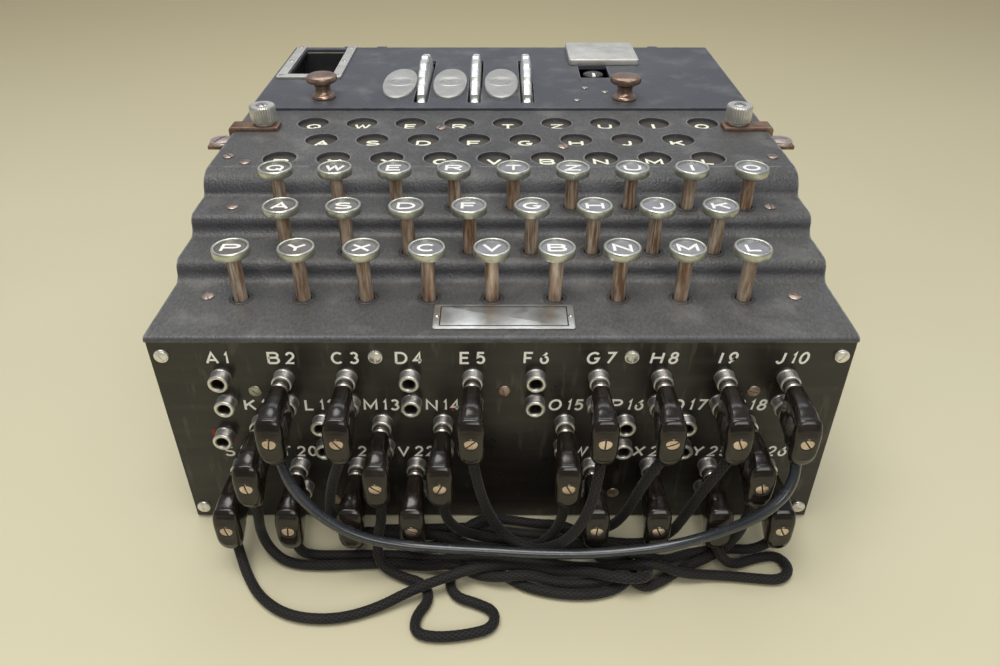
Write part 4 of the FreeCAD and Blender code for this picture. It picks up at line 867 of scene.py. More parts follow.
# ---------------------------------------------------------------- patch cords
# Route points in metres; each is the control point of one smooth spline.
CORDS = {
    "cord_M_W": [
        (-0.04558, -0.16420, 0.03470), (-0.04491, -0.16575, 0.02675), (-0.04809, -0.16516, 0.01409), (-0.04784, -0.17041, 0.00549),
        (-0.03980, -0.17400, 0.00241), (-0.02966, -0.17711, 0.00207), (-0.02673, -0.18456, 0.00210), (-0.03165, -0.19213, 0.00216),
        (-0.03143, -0.19925, 0.00212), (-0.02310, -0.20100, 0.00212), (-0.01214, -0.19975, 0.00212), (-0.00319, -0.19713, 0.00212),
        (-0.00202, -0.19006, 0.00212), (-0.00923, -0.18634, 0.00212), (-0.01784, -0.18340, 0.00222), (-0.02057, -0.17481, 0.00206),
        (-0.01424, -0.16844, 0.00209), (-0.00283, -0.17063, 0.00213), (0.00730, -0.17825, 0.00206), (0.01926, -0.18204, 0.00214),
        (0.03390, -0.18299, 0.00214), (0.04605, -0.17933, 0.00206), (0.05217, -0.17054, 0.00208), (0.04917, -0.16379, 0.00216),
        (0.04029, -0.16588, 0.00206), (0.03646, -0.16697, 0.00708), (0.03596, -0.16420, 0.01240),
    ],
    "cord_K_R": [
        (-0.09210, -0.16420, 0.03470), (-0.09213, -0.16488, 0.02671), (-0.09441, -0.16152, 0.01455), (-0.09219, -0.16256, 0.00477),
        (-0.08375, -0.16791, 0.00206), (-0.07065, -0.16904, 0.00213), (-0.05640, -0.16825, 0.00214), (-0.04253, -0.16768, 0.00206),
        (-0.02942, -0.17049, 0.00337), (-0.01868, -0.17216, 0.00757), (-0.00913, -0.17443, 0.00275), (0.00039, -0.17759, 0.00590),
        (0.01004, -0.17654, 0.00675), (0.02242, -0.17762, 0.00212), (0.03657, -0.17713, 0.00206), (0.04716, -0.17650, 0.00773),
        (0.05372, -0.18017, 0.00246), (0.06135, -0.17665, 0.00206), (0.07150, -0.16966, 0.00210), (0.08430, -0.16456, 0.00314),
        (0.09194, -0.16362, 0.01264), (0.09343, -0.16524, 0.02664), (0.09408, -0.16420, 0.03470),
    ],
    "cord_T_Y": [
        (-0.08034, -0.16420, 0.01240), (-0.07935, -0.16615, 0.00781), (-0.07486, -0.16415, 0.00263), (-0.06399, -0.16370, 0.00206),
        (-0.05248, -0.16346, 0.00211), (-0.03936, -0.16364, 0.00212), (-0.02501, -0.16635, 0.00209), (-0.01029, -0.16430, 0.00215),
        (0.00420, -0.16638, 0.00211), (0.01889, -0.16802, 0.00215), (0.03361, -0.16990, 0.00206), (0.04686, -0.17186, 0.00506),
        (0.05740, -0.17381, 0.01046), (0.06916, -0.17511, 0.00505), (0.08298, -0.17338, 0.00211), (0.09685, -0.17481, 0.00212),
        (0.10770, -0.17606, 0.00212), (0.11303, -0.17053, 0.00212), (0.10980, -0.16383, 0.00219), (0.10122, -0.16492, 0.00206),
        (0.09076, -0.16902, 0.00232), (0.08452, -0.16898, 0.00820), (0.08248, -0.16420, 0.01240),
    ],
    "cord_U_H": [
        (-0.05708, -0.16420, 0.01240), (-0.05652, -0.16310, 0.00786), (-0.05783, -0.15778, 0.00206), (-0.05235, -0.15012, 0.00207),
        (-0.03936, -0.15036, 0.00224), (-0.02464, -0.14987, 0.00212), (-0.01019, -0.14887, 0.00206), (0.00453, -0.15217, 0.00213),
        (0.01946, -0.15407, 0.00209), (0.03382, -0.15165, 0.00206), (0.04432, -0.15434, 0.00777), (0.04872, -0.15850, 0.02094),
        (0.05189, -0.16127, 0.03555), (0.05555, -0.16334, 0.04891), (0.05922, -0.16420, 0.05640),
    ],
    "cord_V_I": [
        (-0.03382, -0.16420, 0.01240), (-0.03299, -0.16408, 0.00778), (-0.02822, -0.15993, 0.00206), (-0.01771, -0.15411, 0.00348),
        (-0.00842, -0.14937, 0.00759), (0.00209, -0.14647, 0.00369), (0.01506, -0.14854, 0.00324), (0.02543, -0.15237, 0.00724),
        (0.03437, -0.15712, 0.00469), (0.04682, -0.15762, 0.00206), (0.05960, -0.15798, 0.00267), (0.06761, -0.15907, 0.00980),
        (0.07163, -0.16050, 0.02244), (0.07517, -0.16242, 0.03619), (0.07978, -0.16414, 0.04878), (0.08248, -0.16420, 0.05640),
    ],
    "cord_C_O": [
        (-0.05708, -0.16420, 0.05640), (-0.06050, -0.16330, 0.04872), (-0.06448, -0.16075, 0.03531), (-0.06729, -0.15782, 0.02014),
        (-0.06452, -0.15613, 0.00795), (-0.05038, -0.15465, 0.00548), (-0.03699, -0.15525, 0.00336), (-0.02591, -0.15798, 0.00801),
        (-0.01569, -0.16019, 0.00445), (-0.00202, -0.16069, 0.00206), (0.01186, -0.16166, 0.00325), (0.02023, -0.16285, 0.01283),
        (0.02372, -0.16450, 0.02638), (0.02430, -0.16420, 0.03470),
    ],
    "cord_S_X": [
        (-0.10360, -0.16420, 0.01240), (-0.10191, -0.16717, 0.00702), (-0.09850, -0.17350, 0.00210), (-0.09050, -0.18450, 0.00210),
        (-0.07800, -0.19230, 0.00210), (-0.06145, -0.19360, 0.00210), (-0.04690, -0.18900, 0.00217), (-0.03365, -0.18281, 0.00531),
        (-0.02049, -0.17891, 0.00796), (-0.00667, -0.17370, 0.00864), (0.00639, -0.17105, 0.00480), (0.02059, -0.17234, 0.00266),
        (0.03380, -0.17536, 0.00670), (0.04527, -0.18124, 0.00981), (0.05516, -0.17985, 0.00847), (0.05742, -0.17117, 0.00206),
        (0.05814, -0.16449, 0.00476), (0.05922, -0.16420, 0.01240),
    ],
    "cord_N_Z": [
        (-0.02232, -0.16420, 0.03470), (-0.02172, -0.16478, 0.02648), (-0.01795, -0.16025, 0.01362), (-0.00966, -0.15562, 0.00413),
        (0.00376, -0.15629, 0.00206), (0.01866, -0.15881, 0.00214), (0.03275, -0.16048, 0.00378), (0.04458, -0.16338, 0.00665),
        (0.05505, -0.16969, 0.00837), (0.06380, -0.16957, 0.00587), (0.07415, -0.16277, 0.00210), (0.08857, -0.16025, 0.00210),
        (0.10121, -0.16521, 0.00673), (0.10574, -0.16420, 0.01240),
    ],
    "cord_E_G": [
        (-0.01056, -0.16420, 0.05640), (-0.00976, -0.16381, 0.04880), (-0.00789, -0.16286, 0.03623), (-0.00461, -0.16163, 0.02278),
        (0.00150, -0.16182, 0.01095), (0.01158, -0.16528, 0.00679), (0.02135, -0.16862, 0.01341), (0.02762, -0.17260, 0.02516),
        (0.03219, -0.17291, 0.03782), (0.03513, -0.16778, 0.04957), (0.03596, -0.16420, 0.05640),
    ],
    "cord_B_J": [
        (-0.08034, -0.16420, 0.05640), (-0.07809, -0.16755, 0.04769), (-0.06851, -0.17180, 0.03517), (-0.05469, -0.17365, 0.02462),
        (-0.03821, -0.17314, 0.01896), (-0.02095, -0.17317, 0.01704), (-0.00366, -0.17326, 0.01594), (0.01362, -0.17360, 0.01477),
        (0.03094, -0.17360, 0.01450), (0.04822, -0.17328, 0.01578), (0.06526, -0.17318, 0.01899), (0.08096, -0.17352, 0.02622),
        (0.09570, -0.17490, 0.03773), (0.10640, -0.16892, 0.04770), (0.10574, -0.16420, 0.05640),
    ],
}
LENGTHS = {"cord_B_J": 0.2252, "cord_S_X": 0.2018, "cord_K_R": 0.2504, "cord_T_Y": 0.2445, "cord_C_O": 0.1622, "cord_U_H": 0.1707, "cord_M_W": 0.2398, "cord_V_I": 0.1663, "cord_N_Z": 0.1594, "cord_E_G": 0.1177}   # metres



def spline(name, route, bevel):
    cu = bpy.data.curves.new(name, "CURVE")
    cu.dimensions = "3D"
    cu.resolution_u = 30
    cu.bevel_depth = bevel
    cu.bevel_resolution = 6
    cu.use_fill_caps = bevel > 0
    s = cu.splines.new("NURBS")
    s.points.add(len(route) - 1)
    for p, q in zip(s.points, route):
        p.co = (*q, 1.0)
    s.order_u = 3
    s.use_endpoint_u = True
    ob = bpy.data.objects.new(name, cu)
    scene.collection.objects.link(ob)
    return ob


def braided(name, route):
    """A tube round the route's own spline, with eight strands crossing each way in its surface."""
    line = spline(name + "_line", route, 0.0)
    bpy.context.view_layer.update()
    got = bpy.data.meshes.new_from_object(line.evaluated_get(bpy.context.evaluated_depsgraph_get()))
    path = [v.co.copy() for v in got.vertices]
    bpy.data.meshes.remove(got)
    bpy.data.objects.remove(line)
    around, strands, pitch, radius = 24, 6, 0.0046, 0.002
    verts, faces, uvs = [], [], []
    tangent = (path[1] - path[0]).normalized()
    side = tangent.orthogonal().normalized()
    run = 0.0
    for i, p in enumerate(path):
        if i:
            run += (p - path[i - 1]).length
        new = ((path[min(i + 1, len(path) - 1)] - path[max(i - 1, 0)])).normalized()
        side = (side - new * side.dot(new)).normalized()
        up = new.cross(side)
        for k in range(around):
            a = 2 * math.pi * k / around
            p1 = math.sin(math.pi * run / pitch * 2 + strands * a / 2) ** 2
            p2 = math.sin(math.pi * run / pitch * 2 - strands * a / 2) ** 2
            r = radius * (0.935 + 0.062 * max(p1, p2))
            verts.append(p + side * (r * math.cos(a)) + up * (r * math.sin(a)))
        uvs.append(run)
    n = len(path)
    loops = []
    for i in range(n - 1):
        for k in range(around):
            k2 = (k + 1) % around
            faces.append([i * around + k, i * around + k2, (i + 1) * around + k2, (i + 1) * around + k])
            loops += [(uvs[i], k / around), (uvs[i], (k + 1) / around), (uvs[i + 1], (k + 1) / around), (uvs[i + 1], k / around)]
    for row in (0, n - 1):
        faces.append([row * around + k for k in range(around)][::(-1 if row == 0 else 1)])
        loops += [(uvs[row], k / around) for k in range(around)]
    me = bpy.data.meshes.new(name)
    me.from_pydata([tuple(v) for v in verts], [], faces)
    layer = me.uv_layers.new(name="UVMap")
    layer.data.foreach_set("uv", [c for pair in loops for c in pair])
    me.materials.append(braid)
    me.shade_smooth()
    me.update()
    ob = bpy.data.objects.new(name, me)
    scene.collection.objects.link(ob)
    return ob, [tuple(p) for p in path]


for name, route in CORDS.items():
    if name == "cord_B_J":
        ob = spline("cable_B_J", route, 0.002)
        ob.data.materials.append(smooth_rubber)
        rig.ride(ob, "root")
        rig.slot(ob, "cord_smooth")
        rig.replaces(ob, name)
        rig.cord(ob, exit=route[0], length=LENGTHS[name], diameter=0.004, far_end="object", stiffness="medium", lay="loose")
    else:
        ob, path = braided(name.replace("cord", "braid"), route)
        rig.ride(ob, "root")
        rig.slot(ob, "cord_braid")
        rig.replaces(ob, name)
        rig.cord(ob, exit=route[0], length=LENGTHS[name], diameter=0.004, far_end="object", stiffness="limp", lay="loose", path=path)

# ---------------------------------------------------------------- keys
def key_shape(letter, top, level):
    base = top - 3.6
    b = Build()
    cup = [(2.7, base + 0.35), (4.9, base + 0.05), (6.4, base + 0.10), (6.95, base + 0.45), (7.1, base + 1.0), (7.1, base + 2.7),
           (7.02, base + 3.1), (6.85, base + 3.42), (6.55, base + 3.58), (6.25, base + 3.58), (6.02, base + 3.42), (5.93, base + 3.1),
           (5.90, base + 1.4), (2.7, base + 1.4)]
    b.add(lathe(cup, 56), 0)
    face = [(0, base + 1.5), (5.88, base + 1.5), (5.88, base + 2.62), (5.6, base + 2.76), (4.4, base + 2.86), (2.6, base + 2.93), (0, base + 2.96)]
    b.add(lathe(face, 48), 1)
    w = 7.2 if letter not in "I" else 4.0
    wide = w * {"I": 0.9, "L": 0.86, "J": 0.84, "E": 0.92, "F": 0.90, "M": 1.10, "W": 1.12}.get(letter, 1.0)

    def lift(x, y, k):
        drop = 0.0055 * (x * x + y * y)
        return Vector((x, y, base + 2.70 + (0.325 - drop) * k)) if k else Vector((x, y, base + 2.6))

    if letter == "I":
        for line in ([(0, -2.8), (0, 2.8)],):
            b.add(stroke(line, 1.3, lift), 2)
    else:
        glyph(b, letter, -wide / 2, -2.9, wide, 5.8, 1.15, lift, 2, 0.0, 0.8)
    n = 30
    stem = [(0, 52.0), (2.2, 52.0), (2.65, 52.5), (2.7, 53.0), (2.7, level - 4.2), (4.1, level - 4.1), (4.3, level - 3.9), (4.3, level - 2.3),
            (4.1, level - 2.1), (2.7, level - 2.05), (2.7, base - 1.5), (2.85, base - 1.3), (3.3, base - 0.7), (3.4, base + 0.0),
            (3.2, base + 0.5), (0, base + 0.6)]
    b.add(lathe(stem, n), 3)
    return b


for letter, x, y, top, level in KEYS:
    shape = key_shape(letter, top, level)
    shape.v = [(vx + x, vy + y, vz) for vx, vy, vz in shape.v]
    shape.make("keypiece_" + letter, [key_rim, disc_face, key_ink, stem_metal], "key_" + letter, "key_metal", ["key_" + letter])

guides = Build()
for letter, x, y, top, level in KEYS:
    guides.add(lathe([(3.25, level - 0.2), (4.7, level - 0.2), (4.7, level + 0.15), (4.3, level + 0.42), (3.7, level + 0.5), (3.3, level + 0.3)], 36), 0, at(x, y, 0))
guides.make("stem_guides", [frame_paint], "root", "black_crackle")

# ---------------------------------------------------------------- plug panel: lettering, sockets, screws
marks = Build()


def on_panel(x, z, k):
    return Vector((x, PANEL_Y + 0.12 - 0.17 * k, z))


for letter, number, x, z in SPOTS:
    height = {74.2: 82.8, 52.5: 60.7, 30.2: 37.0}[z]
    tilt = 0.16 if letter in "GHIJOPQRWXYZ" else 0.04
    word(marks, "%s %d" % (letter, number), x, height - 2.75, 4.6, 5.5, 0.90, on_panel, 0, 0.85, 0.25, tilt)
marks.make("panel_lettering", [panel_ink], "root", "panel_black")

socket = [(2.0, -9.0), (2.7, -9.0), (2.7, 0.0), (3.7, 0.0), (3.85, 0.12), (3.85, 0.8), (3.75, 1.0)]
for ridge in range(5):
    socket += [(3.50, 1.2 + 0.62 * ridge), (3.72, 1.42 + 0.62 * ridge), (3.72, 1.60 + 0.62 * ridge)]
socket += [(3.55, 4.25), (3.78, 4.4), (3.78, 4.75), (3.55, 5.05), (3.15, 5.2), (2.75, 5.15), (2.35, 4.85), (2.08, 4.4), (2.0, 3.9)]
# Tag 2 puts the bore wall and the inner lip in the dark bore finish, painted shade inside the holes.
socket_tags = [2] + [0] * (len(socket) - 1)
for i, (r, z) in enumerate(socket):
    if 0.9 < z < 4.2 and i < 24:
        socket_tags[i] = 1
    if i >= len(socket) - 3:
        socket_tags[i] = 2
sockets = Build()
for letter, number, x, z in SPOTS:
    for zz in (z, z - 11.9):
        place = Matrix.Translation((x, PANEL_Y, zz)) @ OUT @ Matrix.Rotation(random.random() * 6, 4, "Z")
        sockets.add(lathe(socket, 40, None, socket_tags), 0, place)
sockets.add(lathe(socket, 40, None, socket_tags), 0, Matrix.Translation((-107.4, PANEL_Y, 45.9)) @ OUT)
sockets.make("socket_sleeves", [nickel_bright, barrel_metal, bore_dark], "root", "nickel", ["socket_ferrules"], 32)

dabs = Build()
for x, y, z, w, h in ((-111.9, PANEL_Y, 46.9, 0.8, 1.8), (-104.6, PANEL_Y, 43.0, 1.3, 0.7), (-18.6, PANEL_Y, 58.2, 0.5, 0.9)):
    ring = [(w * math.cos(2 * math.pi * k / 14) * (1 + 0.2 * math.sin(3 * k)), h * math.sin(2 * math.pi * k / 14)) for k in range(14)]
    dabs.add(plate(ring, (0.05, -0.12), 0.0, 1, lambda a, b, c, x=x, z=z: Vector((x + a, PANEL_Y + c, z + b))), 0)
dabs.make("paint_dabs", [red_ink], "root", "panel_black")

screws = Build()
head = slotted(2.7, 0.75, 0.85, 0.28, 0.6)
small = slotted(2.5, 0.55, 0.25, 0.3, 0.4)
stub = lathe([(0, -6.0), (1.4, -6.0), (1.4, 0.1), (0, 0.1)], 18)
short = lathe([(0, -1.7), (1.4, -1.7), (1.4, 0.1), (0, 0.1)], 18)
for i, (x, z) in enumerate(PANEL_SCREWS):
    move = Matrix.Translation((x, PANEL_Y, z)) @ OUT @ Matrix.Rotation([0.5, -0.6, 0.2, 1.1, 0.0, 0.25, 0.9, 0.4, 1.3, 0.7, 0.1][i], 4, "Z")
    kind = 3 if i < 6 else (4 if i == 6 else 1)
    screws.add(head if i < 6 else small, kind, move)
    screws.add(stub, kind, move)
for i, (x, y, z) in enumerate(COVER_SCREWS + [(x, y, 116.8) for x, y in LAMP_SCREWS]):
    move = at(x, y, z, 0.4 + 0.9 * i)
    screws.add(small, 1, move).add(short, 1, move)
for sign in (-1, 1):
    for i, (y, z) in enumerate(SIDE_SCREWS):
        move = Matrix.Translation((sign * 126.5, y, z)) @ Matrix.Rotation(sign * math.pi / 2, 4, "Y") @ Matrix.Rotation(0.7 * i, 4, "Z")
        screws.add(small, 2, move).add(short, 2, move)
for i, (x, z) in enumerate(BACK_SCREWS):
    move = Matrix.Translation((x, 140.0, z)) @ Matrix.Rotation(-math.pi / 2, 4, "X") @ Matrix.Rotation(0.8 * i, 4, "Z")
    screws.add(small, 2, move).add(short, 2, move)
screws.make("slotted_screws", [screw_metal, screw_tan, screw_metal, screw_white, screw_green], "root", "nickel_screws", ["screws"], 34)

# ---------------------------------------------------------------- number plate, left bare
tag = Build()
rim = rounded([(-25.2, -136.4), (27.0, -136.4), (27.0, -120.2), (-25.2, -120.2)], 0.9, 4)
tag.add(plate(rim, (92.0, 92.72), 0.22, 2, lambda a, b, c: Vector((a, b, c))), 0)
frame_line = [(-22.6, -134.6), (24.4, -134.6), (24.4, -122.0), (-22.6, -122.0)]
tag.add(stroke(frame_line, 0.55, lambda a, b, k: Vector((a, b, 92.6 + 0.17 * k)), True), 1)
for x in (-23.9, 25.7):
    tag.add(lathe([(0, 92.6), (0.95, 92.6), (0.98, 92.8), (0.8, 93.1), (0.45, 93.28), (0, 93.3)], 24), 2, at(x, -128.3, 0))
tag.make("plate_bare", [plate_metal, black_ink, screw_metal], "root", "nickel", ["number_plate"])

# ---------------------------------------------------------------- lamp windows
lamp_marks = Build()
for letter, x, y in WINDOWS:
    wide = 7.0 * {"I": 0.3, "L": 0.84, "J": 0.84, "E": 0.9, "M": 1.12, "W": 1.16}.get(letter, 1.0)
    lift = (lambda a, b, k: Vector((a, b, 114.86 + 0.14 * k)))
    if letter == "I":
        lamp_marks.add(stroke([(x, y - 3.1), (x, y + 3.1)], 1.45, lift), 0)
    else:
        glyph(lamp_marks, letter, x - wide / 2, y - 3.2, wide, 6.4, 1.3, lift, 0)
lamp_marks.make("film_letters", [lamp_ink], "root", "letter_film")

# ---------------------------------------------------------------- patch plugs
def along(stations, y):
    """Smooth value at y of a list of (y, value) stations that run away from the panel."""
    for (y0, a), (y1, b) in zip(stations, stations[1:]):
        if y0 >= y >= y1:
            t = (y0 - y) / (y0 - y1)
            t = t * t * (3 - 2 * t)
            return a + (b - a) * t
    return stations[-1][1] if y < stations[-1][0] else stations[0][1]


TOP = [(-149.5, 2.3), (-150.6, 3.35), (-161.0, 3.45), (-167.4, 1.75), (-168.3, 0.9), (-169.2, -1.0), (-169.9, -3.0), (-170.4, -5.2)]
LOW = [(-149.5, -14.6), (-150.6, -15.9), (-157.0, -16.1), (-160.6, -18.5), (-164.6, -19.2), (-168.2, -18.7), (-169.4, -17.4), (-170.4, -14.6)]
WIDE = [(-149.5, 2.5), (-150.6, 3.35), (-156.0, 3.7), (-161.0, 4.15), (-165.2, 4.55), (-167.6, 5.0), (-168.8, 4.85), (-169.6, 4.45), (-170.1, 4.0), (-170.4, 3.3)]


def plug_body():
    stops = [-149.5, -149.65, -149.85, -150.1, -150.35, -150.6] + [-151.0 - 1.0 * k for k in range(15)]
    stops += [-166.2, -166.8, -167.3, -167.7, -168.0, -168.3, -168.6, -168.9, -169.2, -169.5, -169.8, -170.05, -170.25, -170.4]
    verts, faces, rings = [], [], []
    around = 56
    for y in stops:
        top, low, hx = along(TOP, y), along(LOW, y), along(WIDE, y)
        mid, hz = (top + low) / 2, (top - low) / 2
        flute = 0.15 * max(0.0, min(1.0, (-150.3 - y) / 1.5)) * max(0.0, min(1.0, (y + 166.0) / 4))
        ring = []
        for k in range(around):
            a = 2 * math.pi * k / around
            ca, sa = math.cos(a), math.sin(a)
            power = 2 / 3.6 if sa > 0 else 2 / (3.2 if y > -158 else 2.35)
            x = hx * math.copysign(abs(ca) ** (2 / 3.4 if sa > 0 else power), ca)
            z = mid + hz * math.copysign(abs(sa) ** (2 / 5.2 if sa > 0 else 2 / 3.0), sa)
            if sa > 0.5:
                z -= flute * (0.5 - 0.5 * math.cos(2 * math.pi * x / 1.35))
            ring.append(len(verts))
            verts.append((x, y, z))
        rings.append(ring)
    for p, q in zip(rings, rings[1:]):
        for k in range(around):
            faces.append([p[k], p[(k + 1) % around], q[(k + 1) % around], q[k]])
    faces.append(rings[0][::-1])
    inner = []
    for k in rings[-1]:
        x, y, z = verts[k]
        inner.append(len(verts))
        verts.append((x * 0.80, y + 0.16, -9.9 + (z + 9.9) * 0.86))
    last = rings[-1]
    for k in range(around):
        faces.append([last[k], last[(k + 1) % around], inner[(k + 1) % around], inner[k]])
    faces.append(inner)
    return verts, faces


body_part = plug_body()
prong = lathe([(0, -8.5), (1.94, -8.5), (1.94, 4.5), (0, 4.5)], 24)
collar = lathe([(1.96, 0.02), (3.1, 0.02), (3.3, 0.2), (3.3, 1.9), (3.1, 2.1), (2.6, 2.15), (2.6, 2.4), (1.96, 2.4)], 60,
               lambda a, r, z: r - (0.22 * (0.5 + 0.5 * math.cos(20 * a)) if r > 3.2 else 0.0))
shoulder = lathe([(1.96, 2.2), (2.75, 2.2), (2.95, 2.45), (2.9, 2.9), (2.6, 3.4), (1.96, 3.6)], 40)
plug_head = slotted(2.72, 0.45, 0.32, 0.32, 0.45)
seat = lathe([(2.6, -0.3), (2.6, 0.0), (2.85, 0.16), (3.1, 0.2), (3.4, 0.06), (3.4, -0.3)], 36)
plugs = Build()
for letter, number, x, z in SPOTS:
    if letter not in PLUGGED:
        continue
    move = at(x, 0, z)
    plugs.add(body_part, 0, move)
    for drop in (0.0, -11.9):
        out = move @ Matrix.Translation((0, -146.2, drop)) @ OUT
        plugs.add(prong, 1, out)
        plugs.add(collar, 4, out)
        plugs.add(shoulder, 2, out)
    plugs.add(seat, 0, move @ Matrix.Translation((0, -170.2, -7.0)) @ OUT)
    plugs.add(plug_head, 3, move @ Matrix.Translation((0, -169.75, -7.0)) @ OUT @ Matrix.Rotation(random.uniform(-1.2, 1.2), 4, "Z"))
    plugs.add(lathe([(2.02, -1.0), (2.75, -1.0), (2.85, 0.0), (2.6, 0.9), (2.1, 1.3), (2.02, 1.3)], 28), 0,
              move @ Matrix.Translation((0, -164.2, -18.6)) @ Matrix.Rotation(math.pi, 4, "X"))
plugs.make("plug_set", [plug_resin, nickel, shoulder_metal, plug_screw, collar_metal], "root", "plug_bakelite", ["patch_plugs"], 42)

# ---------------------------------------------------------------- rotors
def wheel_radial(a, r, x):
    if r < 45.0:
        return r
    step = 2 * math.pi / 26
    d = (a + step / 2) % step - step / 2
    gap = 3.4 ** 2 - (51.6 * math.sin(d)) ** 2
    notch = 51.6 * math.cos(d) - math.sqrt(gap) if gap > 0 else 99.0
    return min(r, notch + (50.0 - r) * -0.6 if notch < 60 else r)


AXIS_X = Matrix.Rotation(math.pi / 2, 4, "Y")    # a shape's +Z turned to +X
RX = {"left": -42.1, "middle": -13.9, "right": 13.9}
for name, rx in RX.items():
    place = Matrix.Translation((rx, 73.0, 80.5)) @ AXIS_X
    b = Build()
    rim = [(31.0, -2.6), (45.6, -2.6), (46.4, -2.2), (49.0, -2.15), (49.8, -1.6), (50.0, -0.9), (50.0, 0.9), (49.8, 1.6), (49.0, 2.15), (46.4, 2.2),
           (45.6, 2.6), (31.0, 2.6)]
    b.add(lathe(rim, 26 * 12, wheel_radial), 0, place)
    ring = [(4.1, -19.7), (31.6, -19.7), (32.6, -19.5), (34.0, -19.0), (34.3, -18.4), (34.3, -3.6), (34.0, -3.2), (33.4, -2.7), (4.1, -2.7)]
    b.add(lathe(ring, 96), 1, place)
    hub = [(4.1, -2.9), (31.2, -2.9), (31.2, 2.7), (32.0, 2.8), (32.0, 4.4), (31.6, 4.7), (10.0, 4.7), (9.6, 4.2), (4.1, 4.2)]
    b.add(lathe(hub, 96, lambda a, r, z: r - (0.5 if r > 31.5 and z > 2.75 and math.sin(26 * a) > 0 else 0.0)), 2, place)
    for i in range(26):
        a = 2 * math.pi * i / 26
        b.add(lathe([(0, 4.6), (1.05, 4.6), (1.1, 5.2), (0.7, 5.5), (0, 5.55)], 14), 0, place @ Matrix.Translation((26 * math.cos(a), 26 * math.sin(a), 0)))
        ang = a + math.pi / 26

        def wrap(p, q, k, ang=ang):
            t = ang + q / 34.3
            r = 34.22 + 0.08 * k
            return Vector((r * math.cos(t), r * math.sin(t), -11.2 + p))

        glyph(b, "ABCDEFGHIJKLMNOPQRSTUVWXYZ"[i], -2.3, -2.6, 4.6 * min(WIDTHS.get("ABCDEFGHIJKLMNOPQRSTUVWXYZ"[i], 1), 1.05), 5.2, 0.8, wrap, 3)
    # the ring letters were drawn in the wheel's own frame, so they move with the rest
    b2 = Build()
    b2.v, b2.f, b2.m = b.v, b.f, b.m
    used = {k for f, m in zip(b2.f, b2.m) if m == 3 for k in f}
    b2.v = [tuple(place @ Vector(p)) if i in used else p for i, p in enumerate(b2.v)]
    b2.make("rotorpiece_" + name, [wheel_metal, ring_black, steel, ring_ink], "rotor_" + name, "rotor_metal", ["rotor_" + name], 30)

# ---------------------------------------------------------------- lid fittings
fit = Build()
for i, x in enumerate((-55.4, -27.9, 0.2)):
    rows = [(0.0, 117.99), (0.0, 118.9), (0.03, 119.25), (0.09, 119.45), (0.20, 119.5), (0.45, 119.45), (0.80, 119.3), (1.0, 119.1), (1.0, 117.99)]
    oval, count = ([], []), 72
    for t, z in rows:
        for k in range(count):
            a = 2 * math.pi * k / count
            ca, sa = math.cos(a), math.sin(a)
            ox, oy = 9.2 * math.copysign(abs(ca) ** 0.92, ca), 65.5 + 25.0 * math.copysign(abs(sa) ** 0.92, sa)
            ix, iy = 7.6 * ca, 68.0 + 7.6 * sa
            oval[0].append((x + ox + (ix - ox) * t, oy + (iy - oy) * t, z))
    for r in range(len(rows)):
        for k in range(count):
            p, q = r * count, ((r + 1) % len(rows)) * count
            oval[1].append([p + k, p + (k + 1) % count, q + (k + 1) % count, q + k])
    fit.add(oval, 3)
    fit.add(lathe([(5.4, 118.4), (5.5, 118.75), (6.3, 119.1), (7.4, 119.38), (8.1, 119.48), (8.7, 119.35), (9.05, 118.95), (9.2, 118.4), (9.2, 117.99), (6.0, 117.99)], 56), 3, at(x, 68.0, 0))
    fit.add(lathe([(0, 116.8), (7.2, 116.8), (7.2, 117.95), (5.7, 118.0), (5.6, 118.5), (4.6, 118.72), (2.6, 118.86), (0, 118.9)], 48), 2, at(x, 68.0, 0))
flat = (lambda a, b, c: Vector((a, b, c)))
u_line = [(-126.4, 75.2), (-90.0, 75.2), (-90.0, 138.5), (-95.2, 138.5), (-95.2, 80.6), (-121.0, 80.6), (-121.0, 138.5), (-126.4, 138.5)]
fit.add(plate(rounded(u_line, [1.2, 1.2, 0.8, 0.6, 1.0, 1.0, 0.6, 0.8], 4), (118.0, 119.4), 0.35, 2, flat), 1)
s_line = rounded([(40.2, 101.2), (81.0, 101.2), (81.0, 139.0), (40.2, 139.0)], 1.4, 4)
fit.add(plate(s_line, (118.0, 121.4), 0.5, 3, flat), 1)
fit.add(stroke(rounded([(43.2, 104.2), (78.0, 104.2), (78.0, 136.0), (43.2, 136.0)], 1.0, 3), 0.4, lambda a, b, k: Vector((a, b, 121.3 + 0.09 * k)), True), 0)
tiny = slotted(1.55, 0.35, 0.2, 0.22, 0.3, 20)
for i, (x, y, z) in enumerate([(-123.7, 77.9, 119.38), (-92.6, 77.9, 119.38), (-123.7, 134.5, 119.38), (-92.6, 134.5, 119.38), (-123.7, 106, 119.38), (-92.6, 106, 119.38)]):
    fit.add(tiny, 0, at(x, y, z - 0.06, 0.6 * i))
for i, (x, y) in enumerate(((45.8, 59.2), (56.0, 52.4), (39.9, 39.3))):
    fit.add(slotted(1.8, 0.4, 0.25, 0.25, 0.3, 22), 0, at(x, y, 118.0, 0.9 * i))
fit.make("lid_metalwork", [screw_metal, lid_nickel, lens_glass, bezel_metal], "lid", "nickel", ["lid_fittings"])

